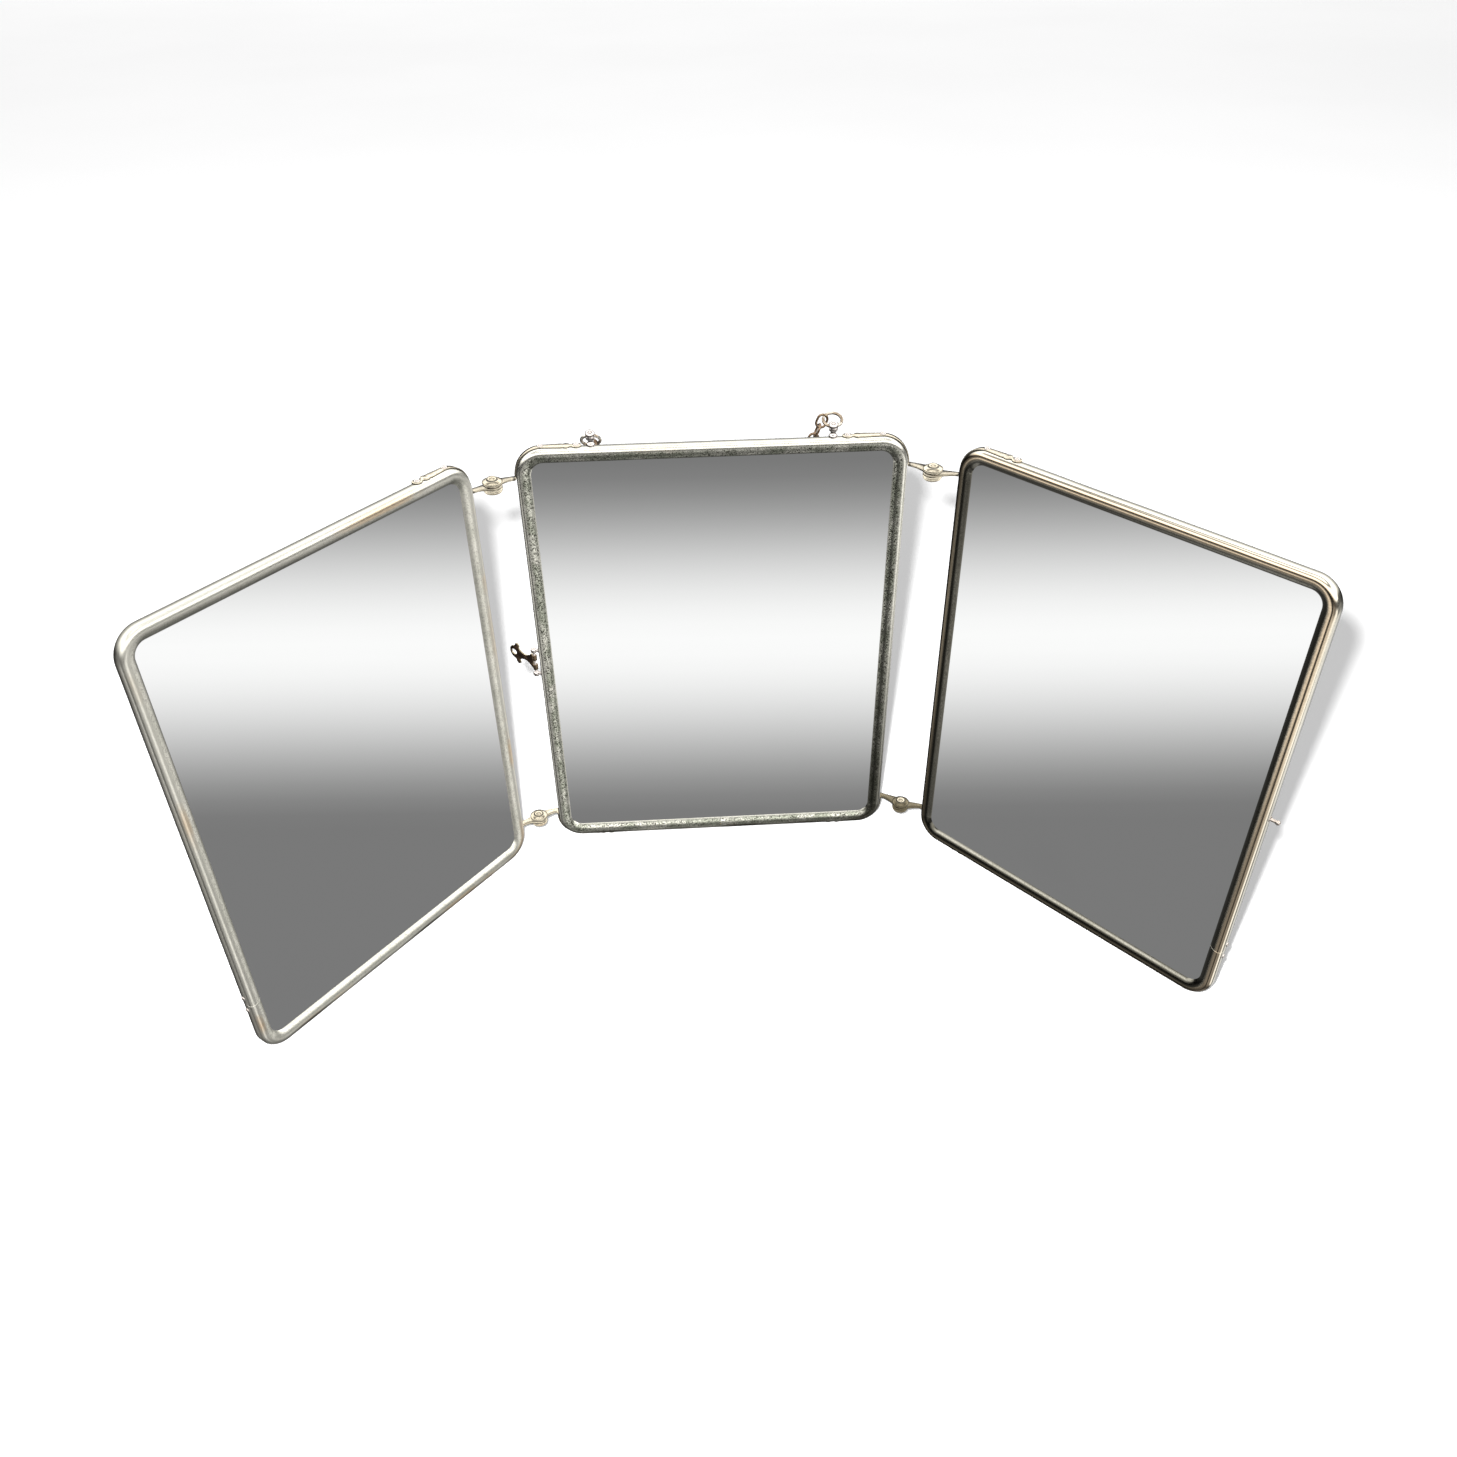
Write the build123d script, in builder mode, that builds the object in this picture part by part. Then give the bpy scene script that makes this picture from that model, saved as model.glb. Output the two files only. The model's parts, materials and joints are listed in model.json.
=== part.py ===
from build123d import *
from math import asin, asinh, atan2, cos, cosh, hypot, pi, radians, sin, sinh, sqrt
import os

os.makedirs("parts", exist_ok=True)

# Three-panel folding barber's mirror: mm, +Z up, the front faces -Y, and the mirror stands on its
# bottom hinge straps. It is drawn with the centre panel's lip plane at y=0 and its outer bottom
# edge at z=0, then everything is moved so that the origin is the bottom centre of the whole.

# ---------------------------------------------------------------- driving dimensions
panel_w = 198.4        # outer width of one panel
panel_h = 250.0        # outer height of one panel
corner_r = 14.0        # outer corner radius of the moulding
mould_w = 7.3          # moulding width, outer wall to glass opening
bulge = 2.7            # how far the moulding stands forward of the glass face
shoulder_r = 2.4       # outer shoulder radius of the moulding
skin = 0.5             # brass sheet of the moulding
lip_w = 3.6            # width of the lip folded over the back panel
bend_r = 0.8           # outer radius of the back fold
glass_t = 2.0
card_t = 0.5
back_t = 0.8
edge_gap = 1.3         # space between moulding wall and glass edge
fold_left = 51.4       # rest fold of the left panel, degrees from flat
fold_right = 50.1
pivot_out = 12.0       # hinge axis, outward of each outer wall
pivot_left = 3.3       # left hinge axis, forward of the glass face
pivot_right = 6.9      # right hinge axis: this panel closes over the left one
hinge_inset = corner_r + 2.4   # hinge height, in from the top and bottom edges

strap_t = 1.0          # hinge strap sheet
rivet_far = 31.2       # strap end rivet, in from the outer wall
rivet_near = 13.2      # strap corner rivet, in from the outer wall
strap_half = 1.7       # half width of the strap where it rounds the corner
eye_r = 2.6            # round strap end
disc_r = 5.0           # hinge eye radius
shaft_r = 1.5          # hinge rivet shaft
run_gap = 0.06         # radial running clearance
side_gap = 0.1         # axial clearance beside each turning tongue
washer_t = 0.4
cup_r = 5.2
cup_t = 2.0            # height of the domed upper cup
base_t = 2.6           # height of the stepped lower cup

seam_z = 36.7          # butt seam height on the side panels
seam_w = 0.2
pin_step = 4.3         # joint pins above and below the seam
pin_r = 0.6

ball_x = 60.7          # chain studs, either side of the middle
ball_r = 2.8
ball_up = 5.5          # ball centre above the frame's top edge
ring_r = 4.7           # chain ring, centre line radius
ring_wire = 0.8        # chain ring wire radius
link_wire = 0.65
link_len = 8.0         # outer length of a link
link_wid = 6.2         # outer width of a link
link_slack = 0.1       # play between neighbouring links
link_count = 32

latch_axis_x = 2.9     # latch axis, outward of the centre panel's left wall
latch_half = 7.5       # latch studs above and below the axis middle
latch_reach = 20.8     # axis to tip
latch_slot_r = 17.3    # axis to slot middle
latch_t = 0.8
latch_pin_r = 0.7
latch_rest = 45.0      # rest angle of the latch behind the panel's plane, degrees
catch_len = 4.0
catch_ball_r = 1.25

wall_d = glass_t + card_t + back_t + skin
chain_back = wall_d + link_wid / 2 + 0.4   # chain plane, behind the glass face
mid_y = wall_d / 2 - 0.15
hw = panel_w / 2
mid_z = panel_h / 2
crest = mould_w - shoulder_r
crest_r = (crest ** 2 + bulge ** 2) / (2 * bulge)

parts = {}             # node name -> (part, body name)


def keep(name, part, body):
    """Store one finished piece, still in its own panel's frame."""
    part.label = name
    parts[name] = (part, body)


def arc_mid(cx, cy, r, a0, a1):
    """Point half way along an arc, from its centre, radius and end angles in radians."""
    a = (a0 + a1) / 2
    return (cx + r * cos(a), cy + r * sin(a))


# ---------------------------------------------------------------- pins, rivets and studs
def turned(points, x, y, z, low=None, top=None):
    """Solid of revolution about a vertical axis through (x, y, z).

    points are (radius, height) pairs from low to high on the outside. low and top are domed
    ends, each (radius, height of the rim, rise).
    """
    with BuildPart() as made:
        with BuildSketch(Plane(origin=(x, y, z), x_dir=(1, 0, 0), z_dir=(0, -1, 0))):
            with BuildLine():
                run = list(points)
                if low:
                    r, h, rise = low
                    cr = (r * r + rise * rise) / (2 * rise)
                    a = asin(min(r / cr, 1.0)) / 2
                    mid = (cr * sin(a), h - rise + cr - cr * cos(a))
                    ThreePointArc((0, h - rise), mid, (r, h))
                if top:
                    r, h, rise = top
                    cr = (r * r + rise * rise) / (2 * rise)
                    a = asin(min(r / cr, 1.0)) / 2
                    mid = (cr * sin(a), h + rise - cr + cr * cos(a))
                    ThreePointArc((r, h), mid, (0, h + rise))
                if low and top:
                    Polyline(*run)
                    Line((0, low[1] - low[2]), (0, top[1] + top[2]))
                elif top:
                    Polyline((0, top[1] + top[2]), *run)
                else:
                    Polyline(*run, run[0])
            make_face()
        revolve(axis=Axis((x, y, z), (0, 0, 1)), revolution_arc=360)
    return made.part


def rivet(x, y, z, out, domed, grip):
    """Strap rivet through the strap and the moulding skin; out is +1 up or -1 down."""
    stem = [(0, -grip - 0.4), (1.3, -grip - 0.4), (1.3, -grip), (0.8, -grip)]
    if domed:
        made = turned(stem + [(0.8, 0), (1.7, 0)], x, y, z, top=(1.7, 0, 0.95))
    else:
        made = turned(stem + [(0.8, -0.6), (1.4, 0), (0, 0)], x, y, z)
    if out < 0:
        made = made.mirror(Plane.XY.offset(z))
    return made


def panel_rivets(sides):
    """All strap rivets of one panel, as one solid each; sides holds +1 and or -1."""
    out = []
    for s in sides:
        for inset in (rivet_far, rivet_near):
            x = s * (hw - inset)
            out.append(rivet(x, mid_y, panel_h + strap_t, 1, True, strap_t + skin))
            out.append(rivet(x, mid_y, -strap_t, -1, False, strap_t + skin))
    return out


def joint_pins(spots, out):
    """Two round-headed pins through the moulding wall; out is the wall's outward direction."""
    made = []
    for p in spots:
        face = Plane(origin=p, z_dir=out)
        axis = Axis(p, out)
        with BuildPart() as pin:
            with BuildSketch(face.offset(-1.15)):
                Circle(pin_r)
            extrude(amount=1.2)
            with BuildSketch(face):
                Circle(1.3)
            extrude(amount=0.8)
            fillet(pin.edges().sort_by(axis)[-1], 0.6)
        made.append(pin.part)
    return made


# ---------------------------------------------------------------- one panel
def moulding(label, seam_point, seam_size, cutters):
    """Rolled brass channel swept round the panel, with its butt seam and pin holes."""
    c_in = crest_r - skin
    depth = crest_r - bulge
    t_in = shoulder_r + sqrt(c_in ** 2 - depth ** 2)
    a_out = atan2(crest, -depth)
    a_in = atan2(t_in - shoulder_r, -depth)
    sh = -(bulge - shoulder_r)
    m1 = arc_mid(sh, shoulder_r, shoulder_r, -pi / 2, -pi)
    m2 = arc_mid(depth, shoulder_r, crest_r, pi, a_out)
    m3 = arc_mid(depth, shoulder_r, c_in, pi, a_in)
    m4 = arc_mid(sh, shoulder_r, shoulder_r - skin, -pi / 2, -pi)
    b_in = bend_r - skin
    m5 = arc_mid(wall_d - bend_r, bend_r, bend_r, -pi / 2, 0)
    m6 = arc_mid(wall_d - bend_r, bend_r, b_in, -pi / 2, 0)
    with BuildPart() as frame:
        with BuildLine(Plane.XZ) as path:
            x1 = hw - corner_r
            z1 = panel_h - corner_r
            Line((0, 0), (x1, 0))
            m = arc_mid(x1, corner_r, corner_r, -pi / 2, 0)
            ThreePointArc((x1, 0), m, (hw, corner_r))
            Line((hw, corner_r), (hw, z1))
            m = arc_mid(x1, z1, corner_r, 0, pi / 2)
            ThreePointArc((hw, z1), m, (x1, panel_h))
            Line((x1, panel_h), (-x1, panel_h))
            m = arc_mid(-x1, z1, corner_r, pi / 2, pi)
            ThreePointArc((-x1, panel_h), m, (-hw, z1))
            Line((-hw, z1), (-hw, corner_r))
            m = arc_mid(-x1, corner_r, corner_r, pi, 1.5 * pi)
            ThreePointArc((-hw, corner_r), m, (-x1, 0))
            Line((-x1, 0), (0, 0))
        with BuildSketch(Plane.YZ) as section:
            with BuildLine():
                Line((wall_d, lip_w), (wall_d, bend_r))
                ThreePointArc((wall_d, bend_r), m5, (wall_d - bend_r, 0))
                Line((wall_d - bend_r, 0), (sh, 0))
                ThreePointArc((sh, 0), m1, (-bulge, shoulder_r))
                ThreePointArc((-bulge, shoulder_r), m2, (0, mould_w))
                Line((0, mould_w), (0, t_in))
                ThreePointArc((0, t_in), m3, (skin - bulge, shoulder_r))
                ThreePointArc((skin - bulge, shoulder_r), m4, (sh, skin))
                Line((sh, skin), (wall_d - bend_r, skin))
                ThreePointArc((wall_d - bend_r, skin), m6, (wall_d - skin, bend_r))
                Line((wall_d - skin, bend_r), (wall_d - skin, lip_w))
                Line((wall_d - skin, lip_w), (wall_d, lip_w))
            make_face()
        sweep(sections=section.sketch, path=path.wires()[0])
        with Locations(seam_point):
            Box(seam_size[0], seam_size[1], seam_size[2], mode=Mode.SUBTRACT)
        for c in cutters:
            add(c, mode=Mode.SUBTRACT)
    frame.part.label = label
    return frame.part


def pane(label, y0, thick, inset, chamfered):
    """Flat sheet with rounded corners, from y0 back by thick, inset from the outer wall."""
    with BuildPart() as sheet:
        with BuildSketch(Plane.XZ.offset(-y0 - thick)):
            with Locations((0, mid_z)):
                RectangleRounded(panel_w - 2 * inset, panel_h - 2 * inset, corner_r - inset)
        extrude(amount=thick)
        if chamfered:
            chamfer(sheet.edges().group_by(Axis.Y)[0], 0.3)
    sheet.part.label = label
    return sheet.part


def joint_plate(label, centre, size, cutters):
    """Small plate inside the channel that bridges the seam."""
    with BuildPart() as plate:
        with Locations(centre):
            Box(size[0], size[1], size[2])
        for c in cutters:
            add(c, mode=Mode.SUBTRACT)
    plate.part.label = label
    return plate.part


def group(label, solids):
    """Several solids exported as one node."""
    made = Compound(children=[s.solids()[0] for s in solids])
    made.label = label
    return made


# ---------------------------------------------------------------- hinge pieces
def strap(px, py, tongue_low, hole_r, cutters, side, top):
    """Hinge strap drawn at the top right corner of a panel, then mirrored into place.

    It lies on the top edge, rounds the corner, runs down the wall and bends out into a flat
    tongue with an eye on the hinge axis (px, py).
    """
    xe = hw - rivet_far
    x1 = hw - corner_r
    z1 = panel_h - corner_r
    xo = hw + strap_t
    ri = 0.5
    low = tongue_low
    high = tongue_low + strap_t
    xb = xo + ri
    ux = px - xb
    uy = py - mid_y
    un = hypot(ux, uy)
    nx, ny = -uy / un, ux / un
    back = (px + nx * 4.6, py + ny * 4.6)
    front = (px - nx * 4.4 - ux / un * 1.0, py - ny * 4.4 - uy / un * 1.0)
    bw = 2.2
    dip = ((xb + front[0]) / 2 + nx * 1.5, (mid_y - bw + front[1]) / 2 + ny * 1.5)
    with BuildPart() as body:
        with BuildSketch(Plane.XY.offset(panel_h)):
            with Locations((xe, mid_y)):
                Circle(eye_r)
            with Locations((xe + 3, mid_y)):
                Rectangle(5, 2.6)
            with Locations((xe + 5.2, mid_y - 0.75), (xe + 5.2, mid_y + 0.75)):
                Circle(1.85)
            with Locations((xe + 8.4, mid_y - 0.5), (xe + 8.4, mid_y + 0.5)):
                Circle(1.8)
            with BuildLine():
                Polyline(
                    (xe + 8.2, mid_y - 2.25),
                    (x1 + 0.01, mid_y - strap_half),
                    (x1 + 0.01, mid_y + strap_half),
                    (xe + 8.2, mid_y + 2.25),
                    (xe + 5.2, mid_y + 2.0),
                    (xe + 5.2, mid_y - 2.0),
                    (xe + 8.2, mid_y - 2.25),
                )
            make_face()
        extrude(amount=strap_t)
        with BuildSketch(Plane.XZ.offset(-mid_y - strap_half)):
            with BuildLine():
                Line((x1, panel_h), (x1, panel_h + strap_t))
                m = arc_mid(x1, z1, corner_r + strap_t, pi / 2, 0)
                ThreePointArc((x1, panel_h + strap_t), m, (xo, z1))
                Line((xo, z1), (hw, z1))
                m = arc_mid(x1, z1, corner_r, pi / 2, 0)
                ThreePointArc((hw, z1), m, (x1, panel_h))
            make_face()
        extrude(amount=2 * strap_half)
        with BuildSketch(Plane.YZ.offset(hw)):
            with BuildLine():
                Polyline(
                    (mid_y - strap_half, z1 + 0.01),
                    (mid_y - bw, high + ri),
                    (mid_y + bw, high + ri),
                    (mid_y + strap_half, z1 + 0.01),
                    (mid_y - strap_half, z1 + 0.01),
                )
            make_face()
        extrude(amount=strap_t)
        with BuildSketch(Plane.XZ.offset(-mid_y - bw)):
            with BuildLine():
                Line((hw, high + ri), (xo, high + ri))
                m = arc_mid(xb, high + ri, ri, pi, 1.5 * pi)
                ThreePointArc((xo, high + ri), m, (xb, high))
                Line((xb, high), (xb, low))
                m = arc_mid(xb, high + ri, ri + strap_t, pi, 1.5 * pi)
                ThreePointArc((xb, low), m, (hw, high + ri))
            make_face()
        extrude(amount=2 * bw)
        with BuildSketch(Plane.XY.offset(low)):
            with BuildLine():
                Line((xb, mid_y - bw), (xb, mid_y + bw))
                Line((xb, mid_y + bw), back)
                Line(back, (px, py))
                Line((px, py), front)
                ThreePointArc(front, dip, (xb, mid_y - bw))
            make_face()
            with Locations((px, py)):
                Circle(disc_r)
            with Locations((px, py)):
                Circle(hole_r, mode=Mode.SUBTRACT)
        extrude(amount=strap_t)
    made = body.part
    if side < 0:
        made = made.mirror(Plane.YZ)
    if not top:
        made = made.mirror(Plane.XY.offset(mid_z))
    with BuildPart() as done:
        add(made)
        for c in cutters:
            add(c, mode=Mode.SUBTRACT)
    return done.part


def hinge(name, side_name, side, top):
    """One friction hinge: two straps, rivet, upper cup, lower cup and washer."""
    b = pivot_left if side < 0 else pivot_right
    px = hw + pivot_out
    zc = panel_h - hinge_inset if top else hinge_inset
    c_low = zc + washer_t / 2
    s_low = zc - washer_t / 2 - side_gap - strap_t
    if not top:
        c_can = panel_h - c_low - strap_t
        s_can = panel_h - s_low - strap_t
    else:
        c_can = c_low
        s_can = s_low
    x = side * px
    c_strap = strap(px, -b, c_can, shaft_r, rivets["center"], side, top)
    s_strap = strap(px, -b, s_can, shaft_r + run_gap, rivets[side_name], -side, top)
    keep("hinge_" + name + "_center_strap", c_strap, "center")
    keep("hinge_" + name + "_side_strap", s_strap, side_name)
    up = c_low + strap_t
    dn = s_low - side_gap
    washer = [(shaft_r, -washer_t / 2), (4.4, -washer_t / 2), (4.4, washer_t / 2), (shaft_r, washer_t / 2)]
    keep("hinge_" + name + "_washer", turned(washer, x, -b, zc), "center")
    cup = [
        (shaft_r, 0), (cup_r - 0.3, 0), (cup_r, 0.25), (cup_r, 0.75), (cup_r - 0.3, 1.1),
        (cup_r - 1.1, 1.5), (cup_r - 2.0, 1.8), (shaft_r, cup_t),
    ]
    keep("hinge_" + name + "_upper_cup", turned(cup, x, -b, up), "center")
    base = [
        (shaft_r, 0), (4.8, 0), (5.0, -0.2), (5.0, -0.65), (4.7, -0.85), (4.85, -1.05),
        (4.75, -1.55), (4.4, -1.75), (4.45, -1.95), (4.0, -2.4), (3.2, -base_t), (shaft_r, -base_t),
    ]
    keep("hinge_" + name + "_lower_cup", turned(base, x, -b, dn), "center")
    top_z = up + cup_t - zc
    low_z = dn - base_t - zc
    prof = [(2.4, low_z), (shaft_r, low_z), (shaft_r, top_z), (2.6, top_z)]
    body = turned(prof, x, -b, zc, low=(2.4, low_z, 0.7), top=(2.6, top_z, 1.3))
    keep("hinge_" + name + "_rivet", body, "center")


# ---------------------------------------------------------------- pins and rivets first
out_left = Vector(-1, 0, 0)
out_right = Vector(1, 0, 0)
pins = {
    "left": joint_pins([(-hw, mid_y, seam_z - pin_step), (-hw, mid_y, seam_z + pin_step)], out_left),
    "right": joint_pins([(hw, mid_y, seam_z - pin_step), (hw, mid_y, seam_z + pin_step)], out_right),
    "center": joint_pins([(-pin_step, mid_y, 0), (pin_step, mid_y, 0)], Vector(0, 0, -1)),
}
rivets = {
    "left": panel_rivets([1]),
    "right": panel_rivets([-1]),
    "center": panel_rivets([1, -1]),
}

# Chain studs: double-ball studs on the centre panel's top edge, the upper ball cross-bored.
studs = {}
for name, s in (("left", -1), ("right", 1)):
    neck_z = ball_up - sqrt(ball_r ** 2 - 1.25 ** 2)
    prof = [(0, -skin - 0.6), (1.4, -skin - 0.6), (1.4, -skin), (0.9, -skin), (0.9, 0), (2.0, 0)]
    prof += [(2.3, 0.45), (2.3, 0.95), (2.0, 1.5), (1.5, 1.95), (1.25, neck_z)]
    foot = Plane(origin=(s * ball_x, mid_y, panel_h), x_dir=(1, 0, 0), z_dir=(0, -1, 0))
    centre = (s * ball_x, mid_y, panel_h + ball_up)
    bore = []
    for i in range(-6, 7):
        xx = 3.0 * i / 6
        bore.append((xx, ring_r - sqrt((ring_r - ring_wire) ** 2 - xx * xx) + 0.12))
    with BuildPart() as stud:
        with BuildSketch(foot):
            with BuildLine():
                Polyline(*prof)
                ThreePointArc((1.25, neck_z), (ball_r, ball_up), (0, ball_up + ball_r))
                Line((0, ball_up + ball_r), prof[0])
            make_face()
        revolve(axis=Axis(centre, (0, 0, 1)), revolution_arc=360)
        with BuildSketch(Plane(origin=centre, x_dir=(1, 0, 0), z_dir=(0, -1, 0))):
            with BuildLine():
                Polyline((-3.0, 0), *bore, (3.0, 0), (-3.0, 0))
            make_face()
        revolve(axis=Axis(centre, (1, 0, 0)), revolution_arc=360, mode=Mode.SUBTRACT)
    studs[name] = stud.part

# Latch studs and catch pin.
latch_x = -hw - latch_axis_x
latch_studs = {}
with BuildPart() as wire:
    with BuildSketch(Plane.XY.offset(mid_z - latch_half - 1.2)):
        with Locations((latch_x, mid_y)):
            Circle(latch_pin_r)
    extrude(amount=2 * (latch_half + 1.2))
for name, s in (("lower", -1), ("upper", 1)):
    z0 = mid_z + s * latch_half
    root = Plane(origin=(-hw, mid_y, z0), z_dir=(-1, 0, 0))
    with BuildPart() as stud:
        with BuildSketch(root.offset(-skin - 0.5)):
            Circle(1.2)
        extrude(amount=0.5)
        with BuildSketch(root.offset(-skin)):
            Circle(0.8)
        extrude(amount=skin + latch_axis_x)
        with BuildSketch(root):
            Circle(1.5)
        extrude(amount=0.5)
        with Locations((latch_x, mid_y, z0)):
            Sphere(1.75)
        add(wire.part, mode=Mode.SUBTRACT)
    latch_studs[name] = stud.part
root = Plane(origin=(hw, mid_y, mid_z), z_dir=(1, 0, 0))
with BuildPart() as catch:
    with BuildSketch(root.offset(-skin - 0.5)):
        Circle(1.3)
    extrude(amount=0.5)
    with BuildSketch(root.offset(-skin)):
        Circle(0.85)
    extrude(amount=skin + catch_len)
    with BuildSketch(root):
        Circle(1.6)
    extrude(amount=0.4)
    with Locations((hw + catch_len, mid_y, mid_z)):
        Sphere(catch_ball_r)

# ---------------------------------------------------------------- panels
for name in ("center", "left", "right"):
    if name == "center":
        seam_at = (0, 0, 0)
        seam_box = (seam_w, 3 * wall_d, 2 * mould_w + 2)
        plate_at = (0, mid_y - 0.1, skin + 0.3)
        plate_box = (16, 2.6, 0.6)
        extra = [studs["left"], studs["right"], latch_studs["lower"], latch_studs["upper"]]
    else:
        s = -1 if name == "left" else 1
        seam_at = (s * hw, 0, seam_z)
        seam_box = (2 * mould_w + 2, 3 * wall_d, seam_w)
        plate_at = (s * (hw - skin - 0.3), mid_y - 0.1, seam_z)
        plate_box = (0.6, 2.6, 16)
        extra = [catch.part] if name == "right" else []
    cuts = pins[name] + rivets[name] + extra
    keep("frame_" + name, moulding("frame", seam_at, seam_box, cuts), name)
    keep("glass_" + name, pane("glass", 0, glass_t, skin + edge_gap, True), name)
    keep("card_" + name, pane("card", glass_t, card_t, skin + edge_gap, False), name)
    keep("back_" + name, pane("back", glass_t + card_t, back_t, skin + edge_gap, False), name)
    keep("joint_plate_" + name, joint_plate("plate", plate_at, plate_box, pins[name]), name)
    keep("joint_pins_" + name, group("pins", pins[name]), name)
    keep("strap_rivets_" + name, group("rivets", rivets[name]), name)

# ---------------------------------------------------------------- hinges
hinge("top_left", "left", -1, True)
hinge("bottom_left", "left", -1, False)
hinge("top_right", "right", 1, True)
hinge("bottom_right", "right", 1, False)

# ---------------------------------------------------------------- latch
keep("latch_stud_upper", latch_studs["upper"], "center")
keep("latch_stud_lower", latch_studs["lower"], "center")
keep("latch_pin", wire.part, "center")
keep("catch_pin", catch.part, "right")
barrel_r = latch_pin_r + 0.08 + 0.65
lp = Plane(origin=(latch_x, mid_y, mid_z), x_dir=(0, 1, 0), z_dir=(1, 0, 0))
with BuildPart() as plate:
    with BuildSketch(lp.offset(-latch_t / 2)):
        with BuildLine():
            Line((0.9, -4.6), (0.9, 4.6))
            Line((0.9, 4.6), (2.6, 4.6))
            ThreePointArc((2.6, 4.6), (8.2, 1.75), (12.9, 3.6))
            Line((12.9, 3.6), (12.6, 5.6))
            ThreePointArc((12.6, 5.6), (14.3, 6.6), (16.0, 5.4))
            ThreePointArc((16.0, 5.4), (16.6, 4.3), (17.9, 3.9))
            ThreePointArc((17.9, 3.9), (latch_reach, 0), (17.9, -3.9))
            ThreePointArc((17.9, -3.9), (16.6, -4.3), (16.0, -5.4))
            ThreePointArc((16.0, -5.4), (14.3, -6.6), (12.6, -5.6))
            Line((12.6, -5.6), (12.9, -3.6))
            ThreePointArc((12.9, -3.6), (8.2, -1.75), (2.6, -4.6))
            Line((2.6, -4.6), (0.9, -4.6))
        make_face()
        with Locations((latch_slot_r, 0)):
            SlotOverall(4.2, 2.9, mode=Mode.SUBTRACT)
    extrude(amount=latch_t)
    for z0 in (-4.6, 1.3):
        with BuildSketch(Plane.XY.offset(mid_z + z0)):
            with Locations((latch_x, mid_y)):
                Circle(barrel_r)
        extrude(amount=3.3)
    with BuildSketch(Plane.XY.offset(mid_z - 1.3)):
        with Locations((latch_x, mid_y)):
            Rectangle(4 * barrel_r, 2.2)
    extrude(amount=2.6, mode=Mode.SUBTRACT)
    with BuildSketch(Plane.XY.offset(mid_z - 6)):
        with Locations((latch_x, mid_y)):
            Circle(latch_pin_r + 0.08)
    extrude(amount=12, mode=Mode.SUBTRACT)
turn = Axis((latch_x, mid_y, 0), (0, 0, 1))
keep("latch_plate", plate.part.rotate(turn, latch_rest), "latch")

# ---------------------------------------------------------------- chain
keep("chain_stud_left", studs["left"], "center")
keep("chain_stud_right", studs["right"], "center")
lean_left = -52.0      # left ring hangs down behind the frame
lean_right = 22.0      # right ring stands back over the frame
hole_z = panel_h + ball_up
rings = {}
for name, s, lean in (("left", -1, lean_left), ("right", 1, lean_right)):
    away = Vector(0, cos(radians(lean)), sin(radians(lean)))
    normal = Vector(1, 0, 0).cross(away)
    middle = Vector(s * ball_x, mid_y, hole_z) + away * ring_r
    with BuildPart() as ring:
        with Locations(Plane(origin=middle, x_dir=(1, 0, 0), z_dir=normal)):
            Torus(ring_r, ring_wire)
    rings[name] = (middle, away)
    keep("chain_ring_" + name, ring.part, "chain")


def link_at(place):
    """One oval chain link: long axis along the plane's x, lying in the plane."""
    straight = link_len - link_wid
    r = link_wid / 2 - link_wire
    with BuildPart() as link:
        with BuildLine() as loop:
            Line((-straight / 2, -r), (straight / 2, -r))
            ThreePointArc((straight / 2, -r), (straight / 2 + r, 0), (straight / 2, r))
            Line((straight / 2, r), (-straight / 2, r))
            ThreePointArc((-straight / 2, r), (-straight / 2 - r, 0), (-straight / 2, -r))
        with BuildSketch(Plane(origin=(0, -r, 0), z_dir=(1, 0, 0))):
            Circle(link_wire)
        sweep(path=loop.wires()[0])
    return place.location * link.part


def catenary(a, b, length, n):
    """Points along a hanging chain from a to b (x, y, z), evenly spaced by arc length."""
    span = hypot(b[0] - a[0], b[1] - a[1])
    rise = b[2] - a[2]
    want = sqrt(length ** 2 - rise ** 2)
    lo = span / 40
    hi = span * 40
    for _ in range(80):
        c = (lo + hi) / 2
        if 2 * c * sinh(span / (2 * c)) > want:
            lo = c
        else:
            hi = c
    u0 = span / 2 - c * asinh(rise / (2 * c * sinh(span / (2 * c))))
    base = a[2] - c * cosh(u0 / c)
    out = []
    for i in range(n):
        s = length * i / (n - 1)
        u = u0 + c * asinh(s / c - sinh(u0 / c))
        t = u / span
        z = base + c * cosh((u - u0) / c)
        slope = sinh((u - u0) / c)
        out.append((Vector(a[0] + (b[0] - a[0]) * t, a[1] + (b[1] - a[1]) * t, z), slope))
    return out


mid_l, away_l = rings["left"]
mid_r, away_r = rings["right"]
hook_l = mid_l + away_l * (ring_r * cos(radians(30))) + Vector(ring_r * sin(radians(30)), 0, 0)
slide = asin((chain_back - mid_r.Y) / (away_r.Y * ring_r))
hook_r = mid_r + Vector(-ring_r * cos(slide), 0, 0) + away_r * (ring_r * sin(slide))
reach = link_len / 2 - 2 * link_wire - ring_wire - 0.3
pitch = link_len - 4 * link_wire - link_slack
start = (hook_l.X + 0.55 * reach, chain_back, hook_l.Z - 0.83 * reach)
end = (hook_r.X - 0.45 * reach, chain_back, hook_r.Z - 0.89 * reach)
links = []
for k, (spot, slope) in enumerate(catenary(start, end, pitch * (link_count - 1), link_count)):
    along = Vector(1, 0, slope).normalized()
    normal = Vector(0, -1, 0) if k % 2 else along.cross(Vector(0, 1, 0))
    links.append(link_at(Plane(origin=spot, x_dir=along, z_dir=normal)))
keep("chain_links", group("links", links), "chain")

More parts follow.
